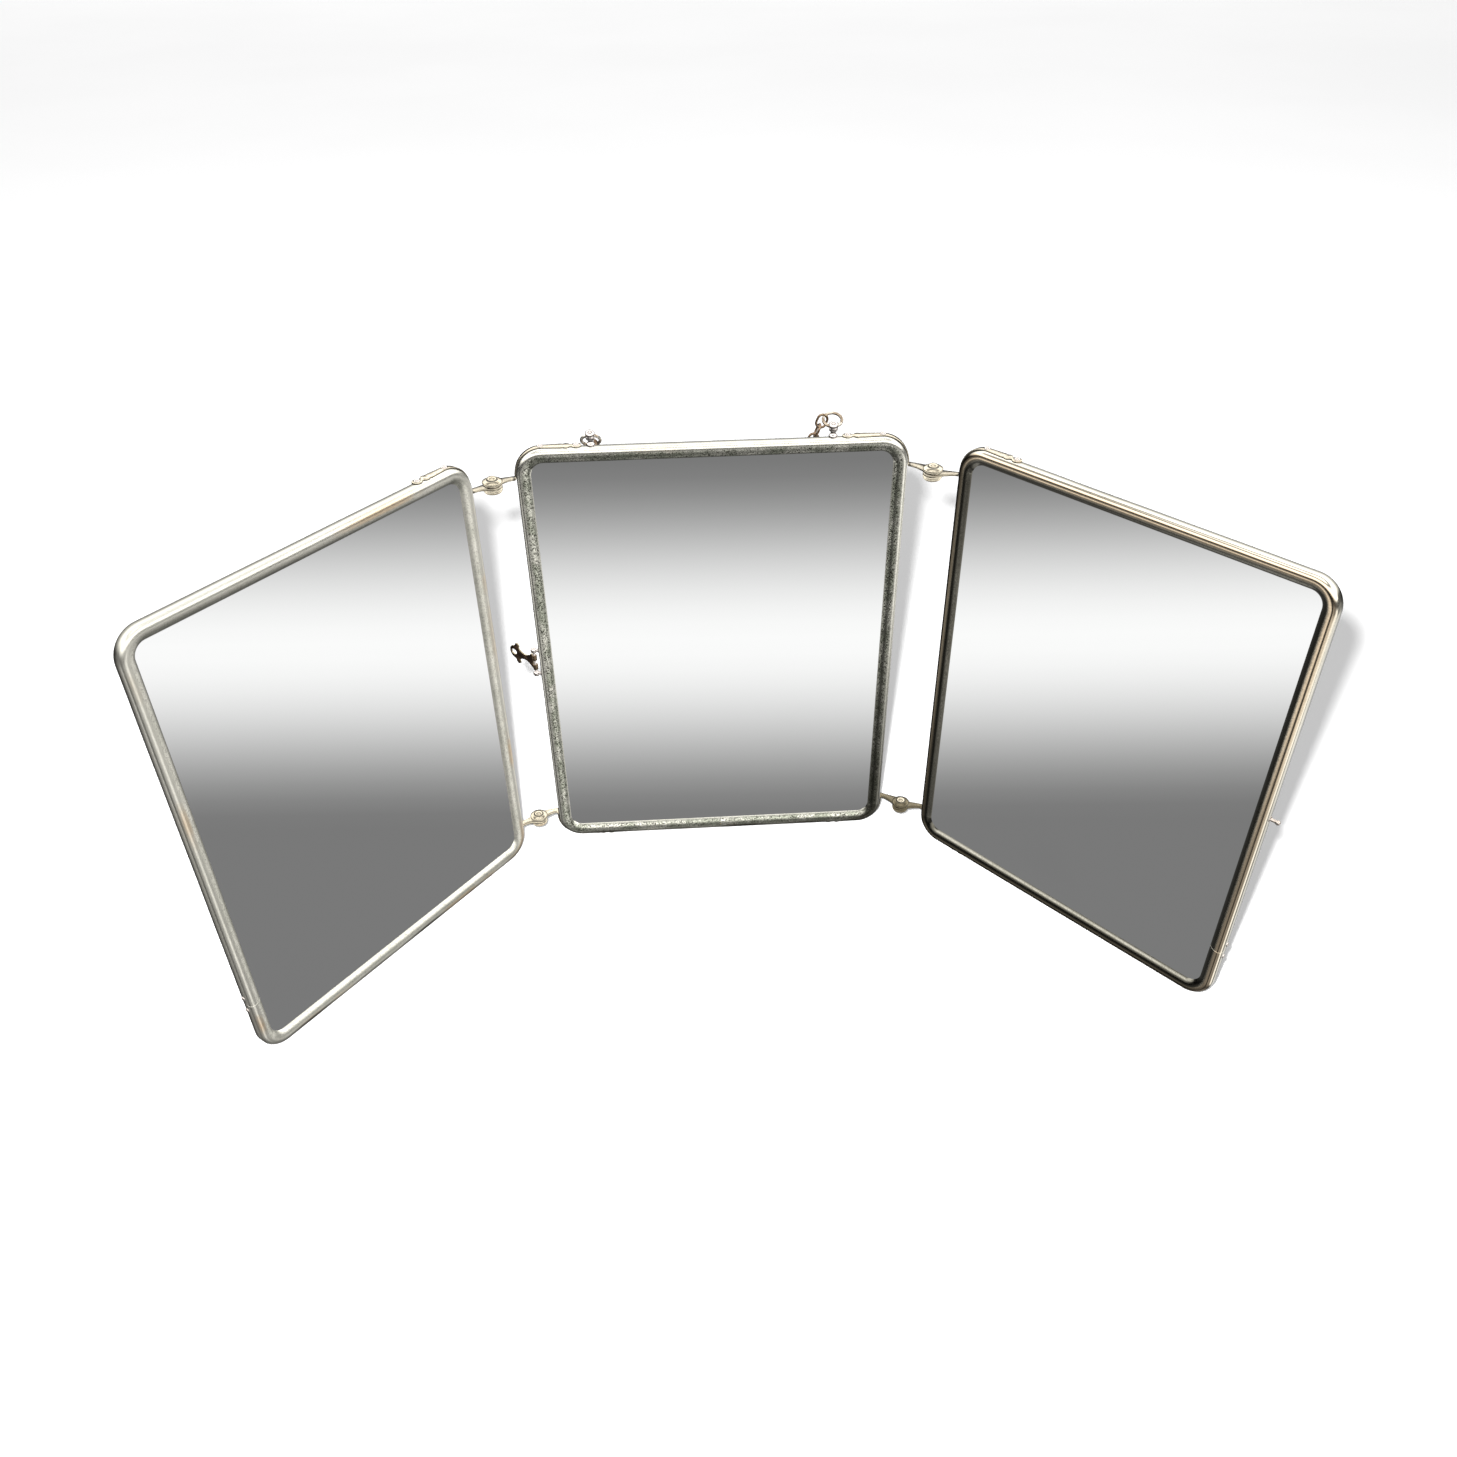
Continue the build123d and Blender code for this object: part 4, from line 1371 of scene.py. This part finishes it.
# ------------------------------------------------------------------ rivets and pins
@dataclass
class Rivets:
    """Strap rivets and seam pins of one panel, scattered by the head tree."""

    side: Side
    far: float = 31.2
    near: float = 13.2
    seam_height: float = 36.7
    pin_step: float = 4.3

    def build(self, shop: Workshop, heads: GeometryTree) -> list[Obj]:
        """Places the heads.

        Args:
            shop: finishes.
            heads: the head tree.

        Returns:
            The rivets and the pins.
        """
        place = Place.of(self.side)
        mid, top = SIZE.mid_y, SIZE.height + 1.0
        ends = {Side.LEFT: (1,), Side.RIGHT: (-1,), Side.CENTER: (1, -1)}[self.side]
        spots, aims, rise = [], [], []
        for s in ends:
            for inset in (self.far, self.near):
                x = s * (SIZE.half - inset)
                spots += [(x, mid, top - 0.03), (x, mid, -0.985)]
                aims += [Vector((0, 0, 1)), Vector((0, 0, -1))]
                rise += [0.56, 0.006]
        turn = Matrix.Rotation(place.angle, 3, "Z")
        values = {
            "Head Radius": 1.68 * MM, "Shank Radius": 0.8 * MM, "Shank Length": 1.7 * MM,
            "Material": shop.finishes["fitting"]
        }
        rivets = heads.bake(
            "strap_heads_" + self.side.word, [place(p) for p in spots],
            {"aim": [turn @ a for a in aims]}, {"rise": rise}, values,
        )
        shop.dress(rivets, "fitting", self.side.body, ("strap_rivets_" + self.side.word,))
        if self.side is Side.CENTER:
            spots = [(-self.pin_step, mid, 0.0), (self.pin_step, mid, 0.0)]
            aims = [Vector((0, 0, -1))] * 2
        else:
            x = self.side.value * SIZE.half
            spots = [(x, mid, self.seam_height + k * self.pin_step) for k in (-1, 1)]
            aims = [turn @ Vector((self.side.value, 0, 0))] * 2
        values = {
            "Head Radius": 1.28 * MM, "Shank Radius": 0.58 * MM, "Shank Length": 1.1 * MM,
            "Material": shop.finishes["fitting"]
        }
        pins = heads.bake(
            "seam_pins_" + self.side.word, [place(p) for p in spots], {"aim": aims}, {"rise": [0.61, 0.61]}, values
        )
        shop.dress(pins, "fitting", self.side.body, ("joint_pins_" + self.side.word,))
        return [rivets, pins]


# ------------------------------------------------------------------ chain
@dataclass
class Chain:
    """Chain that hangs from two rings behind the centre panel, with its double-ball studs."""

    count: int = 32
    ball_x: float = 60.7
    ball_r: float = 2.8
    ball_up: float = 5.5
    ring_r: float = 4.7
    ring_wire: float = 0.8
    link_wire: float = 0.65
    link_len: float = 8.0
    link_wid: float = 6.2
    slack: float = 0.1
    back: float = 7.3
    lean: dict[int, float] = field(default_factory=lambda: {-1: -52.0, 1: 22.0})

    def ring(self, s: int) -> tuple[Vector, Vector]:
        """Where a ring lies.

        Args:
            s: -1 for the left, 1 for the right.

        Returns:
            Its centre and the direction from the stud to it.
        """
        a = math.radians(self.lean[s])
        away = Vector((0, math.cos(a), math.sin(a)))
        return Vector((s * self.ball_x, SIZE.mid_y, SIZE.height + self.ball_up)) + away * self.ring_r, away

    def hang(self, a: Vector, b: Vector, length: float) -> list[tuple[Vector, float]]:
        """Hanging curve between two points.

        Args:
            a: first link's middle.
            b: last link's middle.
            length: length of the curve.

        Returns:
            Point and slope for each link.
        """
        span, rise = b.x - a.x, b.z - a.z
        want = math.sqrt(length ** 2 - rise ** 2)
        lo, hi = span / 40, span * 40
        for _ in range(80):
            c = (lo + hi) / 2
            if 2 * c * math.sinh(span / (2 * c)) > want:
                lo = c
            else:
                hi = c
        u0 = span / 2 - c * math.asinh(rise / (2 * c * math.sinh(span / (2 * c))))
        base = a.z - c * math.cosh(u0 / c)
        out = []
        for i in range(self.count):
            u = u0 + c * math.asinh(length * i / (self.count - 1) / c - math.sinh(u0 / c))
            out.append((Vector((a.x + u, a.y, base + c * math.cosh((u - u0) / c))), math.sinh((u - u0) / c)))
        return out

    def studs(self, shop: Workshop) -> list[Obj]:
        """Turned foot with a bored ball on top, one for each ring.

        Args:
            shop: finishes.

        Returns:
            The two studs.
        """
        made = []
        for s, word in ((-1, "left"), (1, "right")):
            bm = bmesh.new()
            foot = [
                (0, -1.05), (1.35, -1.05), (1.38, -0.55), (0.88, -0.5), (0.88, 0.0), (1.98, 0.0), (2.2, 0.22),
                (2.29, 0.5), (2.28, 0.85),
            ]
            foot += [
                (2.14, 1.25), (1.92, 1.6), (1.62, 1.88), (1.42, 2.2), (1.28, 2.6), (1.24, 3.0), (1.2, 3.3), (0, 3.3)
            ]
            add_lathe(bm, foot, (s * self.ball_x, SIZE.mid_y, SIZE.height), steps=36)
            edge = 2.26
            a = math.degrees(math.acos(edge / self.ball_r))
            bead = [(q, p) for p, q in arc(0, 0, self.ball_r, a, 180 - a, 16)]
            inner = self.ring_r - self.ring_wire
            for k in range(9):
                x = -edge + 2 * edge * k / 8
                bead.append((self.ring_r - math.sqrt(inner ** 2 - x * x) + 0.1, x))
            add_lathe(bm, bead, (s * self.ball_x, SIZE.mid_y, SIZE.height + self.ball_up), (1, 0, 0), 36, ring=True)
            obj = finish_mesh(bm, "chain_stud_ball_" + word, Place.of(Side.CENTER), 40)
            made.append(shop.dress(obj, "fitting", "center_panel", ("chain_stud_" + word,)))
        return made

    def build(self, shop: Workshop, tree: GeometryTree) -> list[Obj]:
        """Builds the studs, the rings and the links.

        Args:
            shop: finishes.
            tree: the link tree.

        Returns:
            The pieces.
        """
        made = self.studs(shop)
        place = Place.of(Side.CENTER)
        for s, word in ((-1, "left"), (1, "right")):
            middle, away = self.ring(s)
            bm = bmesh.new()
            across = Vector((1, 0, 0))
            normal = across.cross(away)
            loops = []
            for i in range(40):
                a = 2 * math.pi * i / 40
                d = across * math.cos(a) + away * math.sin(a)
                loop = []
                for k in range(12):
                    b = 2 * math.pi * k / 12
                    loop.append(tuple(middle + d * (self.ring_r + 0.78 * math.cos(b)) + normal * 0.78 * math.sin(b)))
                loops.append(loop)
            add_loops(bm, loops, closed=True)
            obj = finish_mesh(bm, "chain_loop_" + word, place, 60)
            made.append(shop.dress(obj, "ring", "chain", ("chain_ring_" + word,)))
        mid_l, away_l = self.ring(-1)
        mid_r, away_r = self.ring(1)
        hook_l = mid_l + away_l * (self.ring_r * math.cos(math.radians(30))) + Vector((self.ring_r * 0.5, 0, 0))
        slide = math.asin((self.back - mid_r.y) / (away_r.y * self.ring_r))
        hook_r = mid_r + Vector((-self.ring_r * math.cos(slide), 0, 0)) + away_r * (self.ring_r * math.sin(slide))
        reach = self.link_len / 2 - 2 * self.link_wire - self.ring_wire - 0.3
        pitch = self.link_len - 4 * self.link_wire - self.slack
        a = Vector((hook_l.x + 0.55 * reach, self.back, hook_l.z - 0.83 * reach))
        b = Vector((hook_r.x - 0.45 * reach, self.back, hook_r.z - 0.89 * reach))
        spots, along, face = [], [], []
        for k, (p, slope) in enumerate(self.hang(a, b, pitch * (self.count - 1))):
            d = Vector((1, 0, slope)).normalized()
            spots.append(place(tuple(p)))
            along.append(d)
            face.append(Vector((0, -1, 0)) if k % 2 else d.cross(Vector((0, 1, 0))))
        values = {
            "Link Length": self.link_len * MM, "Link Width": self.link_wid * MM,
            "Wire Radius": (self.link_wire - 0.01) * MM, "Material": shop.finishes["chain"],
        }
        obj = tree.bake("chain_run", spots, {"along": along, "face": face}, {}, values)
        made.append(shop.dress(obj, "chain", "chain", ("chain_links",)))
        return made


# ------------------------------------------------------------------ latch
@dataclass
class Latch:
    """Swinging latch plate on the centre panel, its ball studs, and the catch pin on the right panel."""

    axis_x: float = 2.9
    half: float = 7.5
    reach: float = 20.8
    slot_r: float = 17.3
    thick: float = 0.8
    rest: float = 45.0
    catch: float = 4.0
    knob: float = 1.246

    def outline(self) -> Path:
        """Outer edge of the plate, as (distance from the axis, height).

        Returns:
            The points, in order.
        """
        upper: Path = [(0.9, 4.6), (2.6, 4.6)]

        def through(a: tuple[float, float], m: tuple[float, float], b: tuple[float, float], n: int) -> None:
            """Adds an arc through three points.

            Args:
                a: start.
                m: a point on the way.
                b: end.
                n: steps.
            """
            ax, ay, bx, by, cx, cy = *a, *m, *b
            d = 2 * (ax * (by - cy) + bx * (cy - ay) + cx * (ay - by))
            ux = (
                (ax * ax + ay * ay) * (by - cy) + (bx * bx + by * by) * (cy - ay) + (cx * cx + cy * cy) * (ay - by)
            ) / d
            uy = (
                (ax * ax + ay * ay) * (cx - bx) + (bx * bx + by * by) * (ax - cx) + (cx * cx + cy * cy) * (bx - ax)
            ) / d
            r = math.hypot(ax - ux, ay - uy)
            a0, am, a1 = (math.atan2(y - uy, x - ux) for x, y in (a, m, b))
            turn = (a1 - a0) % (2 * math.pi)
            if (am - a0) % (2 * math.pi) > turn:
                turn -= 2 * math.pi
            for i in range(1, n + 1):
                w = a0 + turn * i / n
                upper.append((ux + r * math.cos(w), uy + r * math.sin(w)))

        through((2.6, 4.6), (8.2, 1.75), (12.9, 3.6), 12)
        upper.append((12.6, 5.6))
        through((12.6, 5.6), (14.3, 6.6), (16.0, 5.4), 8)
        through((16.0, 5.4), (16.6, 4.3), (17.9, 3.9), 6)
        through((17.9, 3.9), (self.reach, 0), (17.9, -3.9), 14)
        return upper + [(r, -z) for r, z in reversed(upper[:28])]

    def plate(self, shop: Workshop) -> Obj:
        """Flat plate with eased edges, a slot, and two knuckles.

        Args:
            shop: finishes.

        Returns:
            The plate.
        """
        curve = bpy.data.curves.new("latch_outline", "CURVE")
        curve.dimensions = "2D"
        curve.fill_mode = "BOTH"
        ease = 0.2
        hole = arc(self.slot_r + 0.65, 0, 1.45, -90, 90, 10) + arc(self.slot_r - 0.65, 0, 1.45, 90, 270, 10)
        for loop in (self.outline(), hole):
            spline = curve.splines.new("POLY")
            spline.points.add(len(loop) - 1)
            for point, (x, y) in zip(spline.points, loop):
                point.co = (x, y, 0, 1)
            spline.use_cyclic_u = True
        curve.extrude = self.thick / 2 - ease
        curve.bevel_depth = ease
        curve.bevel_resolution = 2
        curve.offset = -ease
        shape = show(bpy.data.objects.new("latch_outline", curve))
        graph = bpy.context.evaluated_depsgraph_get()
        mesh = bpy.data.meshes.new_from_object(shape.evaluated_get(graph), depsgraph=graph)
        bpy.data.objects.remove(shape)
        bpy.data.curves.remove(curve)
        bm = bmesh.new()
        bm.from_mesh(mesh)
        bpy.data.meshes.remove(mesh)
        bmesh.ops.remove_doubles(bm, verts=bm.verts, dist=1e-4)
        edge = bm.verts.layers.float.new("edge")
        # Bright rims of the plate through the edge attribute: partly rubbed wear and partly painted highlight; the
        # knuckles get only a little.
        for v in bm.verts:
            v[edge] = 0.75 if abs(v.co.z) < self.thick / 2 - 0.02 else 0.0
        a = math.radians(self.rest)
        out, flat = Vector((-math.sin(a), math.cos(a), 0)), Vector((math.cos(a), math.sin(a), 0))
        base = Vector((-SIZE.half - self.axis_x, SIZE.mid_y, SIZE.height / 2))
        for v in bm.verts:
            r, z, t = v.co
            v.co = base + out * r + flat * t + Vector((0, 0, z))
        before = set(bm.verts)
        for z0 in (-4.6, 1.3):
            roll = [(0.8, 0), (1.25, 0), (1.38, 0.1), (1.42, 0.3), (1.42, 3.0), (1.38, 3.2), (1.25, 3.3), (0.8, 3.3)]
            add_lathe(bm, roll, tuple(base + Vector((0, 0, z0))), steps=28, ring=True)
        for v in bm.verts:
            if v not in before:
                v[edge] = 0.12
        obj = finish_mesh(bm, "latch_leaf", Place.of(Side.CENTER), 45)
        return shop.dress(obj, "bronze", "latch", ("latch_plate",))

    def build(self, shop: Workshop) -> list[Obj]:
        """Builds the plate, its studs and the catch pin.

        Args:
            shop: finishes.

        Returns:
            The pieces.
        """
        made = [self.plate(shop)]
        for word, s in (("lower", -1), ("upper", 1)):
            bm = bmesh.new()
            root = (-SIZE.half, SIZE.mid_y, SIZE.height / 2 + s * self.half)
            turned = [
                (0, -0.98), (1.2, -0.98), (1.2, -0.5), (0.8, -0.5), (0.8, 0), (1.4, 0), (1.5, 0.12), (1.48, 0.36),
                (1.3, 0.5), (0.9, 0.62), (0.82, 1.3),
            ]
            turned += [(
                1.75 * math.sin(q), self.axis_x - 1.75 * math.cos(q)
            ) for q in (math.radians(30 + 150 * i / 12) for i in range(12))]
            turned += [(0, self.axis_x + 1.75)]
            add_lathe(bm, turned, root, (-1, 0, 0), 32)
            obj = finish_mesh(bm, "latch_ball_" + word, Place.of(Side.CENTER), 45)
            made.append(shop.dress(obj, "fitting", "center_panel", ("latch_stud_" + word,)))
        bm = bmesh.new()
        pin = [
            (0, -0.98), (1.3, -0.98), (1.3, -0.5), (0.85, -0.5), (0.85, 0), (1.5, 0), (1.6, 0.1), (1.57, 0.3),
            (1.35, 0.4), (0.9, 0.5), (0.85, 1.2), (0.83, 2.9),
        ]
        pin += [(
            self.knob * math.sin(q), self.catch - self.knob * math.cos(q)
        ) for q in (math.radians(44 + 136 * i / 10) for i in range(10))]
        pin += [(0, self.catch + self.knob)]
        add_lathe(bm, pin, (SIZE.half, SIZE.mid_y, SIZE.height / 2), (1, 0, 0), 28)
        obj = finish_mesh(bm, "catch_ball", Place.of(Side.RIGHT), 45)
        made.append(shop.dress(obj, "fitting", "right_panel", ("catch_pin",)))
        return made


# ------------------------------------------------------------------ studio
@dataclass
class Studio:
    """Pale floor, soft light, the surroundings that the mirrors show, and the camera."""

    floor_size: float = 40.0
    band: float = -31.8
    band_half: float = 8.1
    grey: float = 0.198
    headings: tuple[float, ...] = (177.05, 74.2, -82.8)
    ambient: float = 0.35
    key: float = 75.0
    key_size: float = 0.013
    key_place: Point = (-0.054, -0.512, 0.538)
    fill: float = 0.75
    fill_place: Point = (0, 0, 2)
    far: float = 42.0
    far_place: Point = (0, 5.0, 2.2)
    far_size: tuple[float, float] = (9.0, 3.0)
    place: Point = (-0.030078, -0.528191, 0.509480)
    yaw: float = 2.955
    pitch: float = 39.82
    roll: float = -0.84
    lens: float = 31.119
    shift: tuple[float, float] = (-0.00044, 0.0624)

    def floor(self) -> Obj:
        """Large plain floor.

        Returns:
            The floor.
        """
        bm = bmesh.new()
        h = self.floor_size / 2
        bm.faces.new([bm.verts.new(p) for p in ((-h, -h, 0), (h, -h, 0), (h, h, 0), (-h, h, 0))])
        mesh = bpy.data.meshes.new("floor")
        bm.to_mesh(mesh)
        bm.free()
        obj = show(bpy.data.objects.new("floor", mesh))
        n = Nodes("floor_paint")
        tone = n.mix(n.span(n.noise(1.5, 3, 0.5), 0.3, 0.7), (0.93, 0.93, 0.93, 1), (0.95, 0.95, 0.95, 1))
        n.set(Base_Color=tone, Roughness=n.span(n.noise(80, 3, 0.5), 0.3, 0.7, 0.85, 0.95), Specular_IOR_Level=0.0)
        mesh.materials.append(n.material)
        obj.visible_glossy = False
        return obj

    def lamp(self, name: str, kind: str, energy: float, spot: Point, **props: object) -> Obj:
        """Adds a light that isn't seen itself.

        Args:
            name: its name.
            kind: light type.
            energy: its power.
            spot: where it stands.
            props: properties of the light.

        Returns:
            The light.
        """
        lamp = bpy.data.lights.new(name, kind)
        lamp.energy = energy
        for key, value in props.items():
            setattr(lamp, key, value)
        obj = show(bpy.data.objects.new(name, lamp))
        obj.location = spot
        obj.visible_glossy = False
        obj.visible_camera = False
        return obj

    def lights(self) -> None:
        """A small steady key light above and left of the eye, and two shadowless fills over the floor."""
        key = self.lamp("key_light", "POINT", 1.0, self.key_place, shadow_soft_size=self.key_size, use_nodes=True).data
        graph = Graph(key.node_tree)
        steady = graph.node("ShaderNodeLightFalloff", {"Strength": self.key})
        glow = next(n for n in key.node_tree.nodes if n.type == "EMISSION")
        graph.fill(glow, {"Strength": steady.outputs["Constant"]})
        self.lamp("fill_light", "SUN", self.fill, self.fill_place, use_shadow=False)
        size = {"shape": "RECTANGLE", "size": self.far_size[0], "size_y": self.far_size[1]}
        self.lamp("far_light", "AREA", self.far, self.far_place, use_shadow=False, **size)

    def surroundings(self) -> None:
        """World that is white to the eye, soft as light, and graded in the mirrors."""
        world = bpy.data.worlds.new("surroundings")
        bpy.context.scene.world = world
        world.use_nodes = True
        graph = Graph(world.node_tree)
        graph.tree.nodes.clear()
        add = graph.node

        def ramp(value: Socket, half: float, stops: Path, mode: str = "LINEAR") -> Socket:
            """Grey ramp over an angle.

            Args:
                value: the angle in radians.
                half: largest angle in degrees.
                stops: (degrees, tone) pairs.
                mode: interpolation.

            Returns:
                The tone.
            """
            limit = math.radians(half)
            share = add("ShaderNodeMapRange", {"Value": value, "From Min": -limit, "From Max": limit}).outputs[0]
            node = add("ShaderNodeValToRGB", {0: share})
            node.color_ramp.interpolation = mode
            elements = node.color_ramp.elements
            while len(elements) < len(stops):
                elements.new(0.5)
            for element, (deg, tone) in zip(elements, stops):
                element.position = (deg + half) / (2 * half)
                element.color = (tone, tone, tone, 1)
            return node.outputs[0]

        ray = add("ShaderNodeTexCoord").outputs["Generated"]
        forward = None
        for heading in self.headings:
            a = math.radians(heading)
            links = {0: ray, 1: (math.sin(a), math.cos(a), 0)}
            dot = add("ShaderNodeVectorMath", links, operation="DOT_PRODUCT").outputs["Value"]
            forward = dot if forward is None else graph.math("MAXIMUM", forward, dot)
        forward = graph.math("MAXIMUM", forward, 0.02)
        axes = add("ShaderNodeSeparateXYZ", {0: ray})
        height = axes.outputs[2]
        angle = graph.math("ARCTAN2", height, forward)
        low, high = self.band - self.band_half, self.band + self.band_half
        grey = self.grey
        graded = ramp(angle, 90, [(-90, grey), (low, grey), (self.band, 1.0), (high, grey), (90, grey)], "EASE")
        rise = graph.math("ARCSINE", height)
        turn = graph.math("ARCTAN2", axes.outputs[0], axes.outputs[1])
        around = ramp(turn, 180, [
            (
                -180, 0.85
            ), (-165, 0.6), (-148, 0.06), (-118, 0.03), (-60, 0.04), (-30, 0.06), (0, 0.08), (24, 0.2), (46, 0.8),
            (105, 1.25), (150, 1.1), (180, 1.0),
        ])
        level = ramp(rise, 90, [
            (-90, 0.30), (-76, 0.34), (-62, 0.06), (-54, 0.10), (-48, 1.0), (-14, 1.0), (-7, 0.10), (9, 0.10),
            (17, 1.5), (32, 2.3), (48, 1.5), (56, 0.25), (62, 0.25), (70, 1.7), (90, 1.4),
        ])
        sided = ramp(rise, 90, [(-90, 0.0), (-62, 0.2), (-50, 1.0), (-6, 1.0), (14, 0.25), (40, 0.0), (90, 0.0)])
        white = (1, 1, 1, 1)
        room = graph.mix(1.0, level, graph.mix(sided, white, around), "MULTIPLY")
        window = ramp(turn, 180, [
            (-180, 1.0), (-168, 1.0), (-156, 0.0), (-128, 0.0), (-118, 1.0), (-86, 1.0), (-74, 0.0),
            (66, 0.0), (79, 1.0), (112, 1.0), (124, 0.0), (150, 0.0), (162, 1.0), (180, 1.0),
        ])
        inside = ramp(rise, 90, [(-90, 0.0), (-60, 0.0), (-54, 1.0), (-12, 1.0), (-4, 0.0), (90, 0.0)])
        mirrored = graph.mix(graph.math("MULTIPLY", window, inside), room, graded)
        path = add("ShaderNodeLightPath")
        soft = graph.mix(path.outputs["Is Glossy Ray"], (self.ambient,) * 3 + (1,), mirrored)
        seen = graph.mix(path.outputs["Is Camera Ray"], soft, white)
        back = add("ShaderNodeBackground", {"Color": seen, "Strength": 1.0})
        add("ShaderNodeOutputWorld", {"Surface": back.outputs[0]})

    def camera(self) -> Obj:
        """Camera at standing height in front of the mirror, looking down.

        Returns:
            The camera.
        """
        data = bpy.data.cameras.new("camera")
        data.sensor_width = 36
        data.lens = self.lens
        data.shift_x, data.shift_y = self.shift
        data.clip_start, data.clip_end = 0.01, 200
        obj = show(bpy.data.objects.new("camera", data))
        y, p, r = (math.radians(a) for a in (self.yaw, self.pitch, self.roll))
        fwd = Vector((math.sin(y) * math.cos(p), math.cos(y) * math.cos(p), -math.sin(p)))
        right = Vector((math.cos(y), -math.sin(y), 0))
        up = right.cross(fwd)
        side = right * math.cos(r) + up * math.sin(r)
        top = -right * math.sin(r) + up * math.cos(r)
        turn = Matrix((side, top, -fwd)).transposed().to_4x4()
        obj.matrix_world = Matrix.Translation(self.place) @ turn
        bpy.context.scene.camera = obj
        return obj

    def build(self) -> None:
        """Sets the whole stage."""
        self.floor()
        self.lights()
        self.surroundings()
        self.camera()
        bpy.context.scene.view_settings.view_transform = "Standard"
        log.info("stage set")


def main() -> None:
    """Builds every piece in order."""
    logging.basicConfig(level=logging.INFO, format="%(name)s: %(message)s")
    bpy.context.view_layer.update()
    shop = Workshop()
    heads, links = heads_tree(), links_tree()
    for side in Side:
        Moulding(side, slope_from=1.9 if side is Side.CENTER else 2.9).build(shop)
        Sheet(side, "mirror", "glass", 0.0, 2.0, "mirror", "mirror_glass").build(shop)
        Sheet(side, "back_board", "back", 2.5, 0.8, "board", "back_board", ease=0.05).build(shop)
        Rivets(side).build(shop, heads)
        shop.paint_node("card_" + side.word, "card")
        shop.paint_node("joint_plate_" + side.word, "raw")
    for side in (Side.LEFT, Side.RIGHT):
        for level in Level:
            HingeStrap(side, level, Side.CENTER).build(shop)
            HingeStrap(side, level, side).build(shop)
            HingeBarrel(side, level).build(shop)
            shop.paint_node(f"hinge_{level.value}_{side.word}_washer", "bronze")
    Chain().build(shop, links)
    Latch().build(shop)
    shop.paint_node("latch_pin", "fitting")
    Studio().build()


if __name__ == "__main__":
    main()
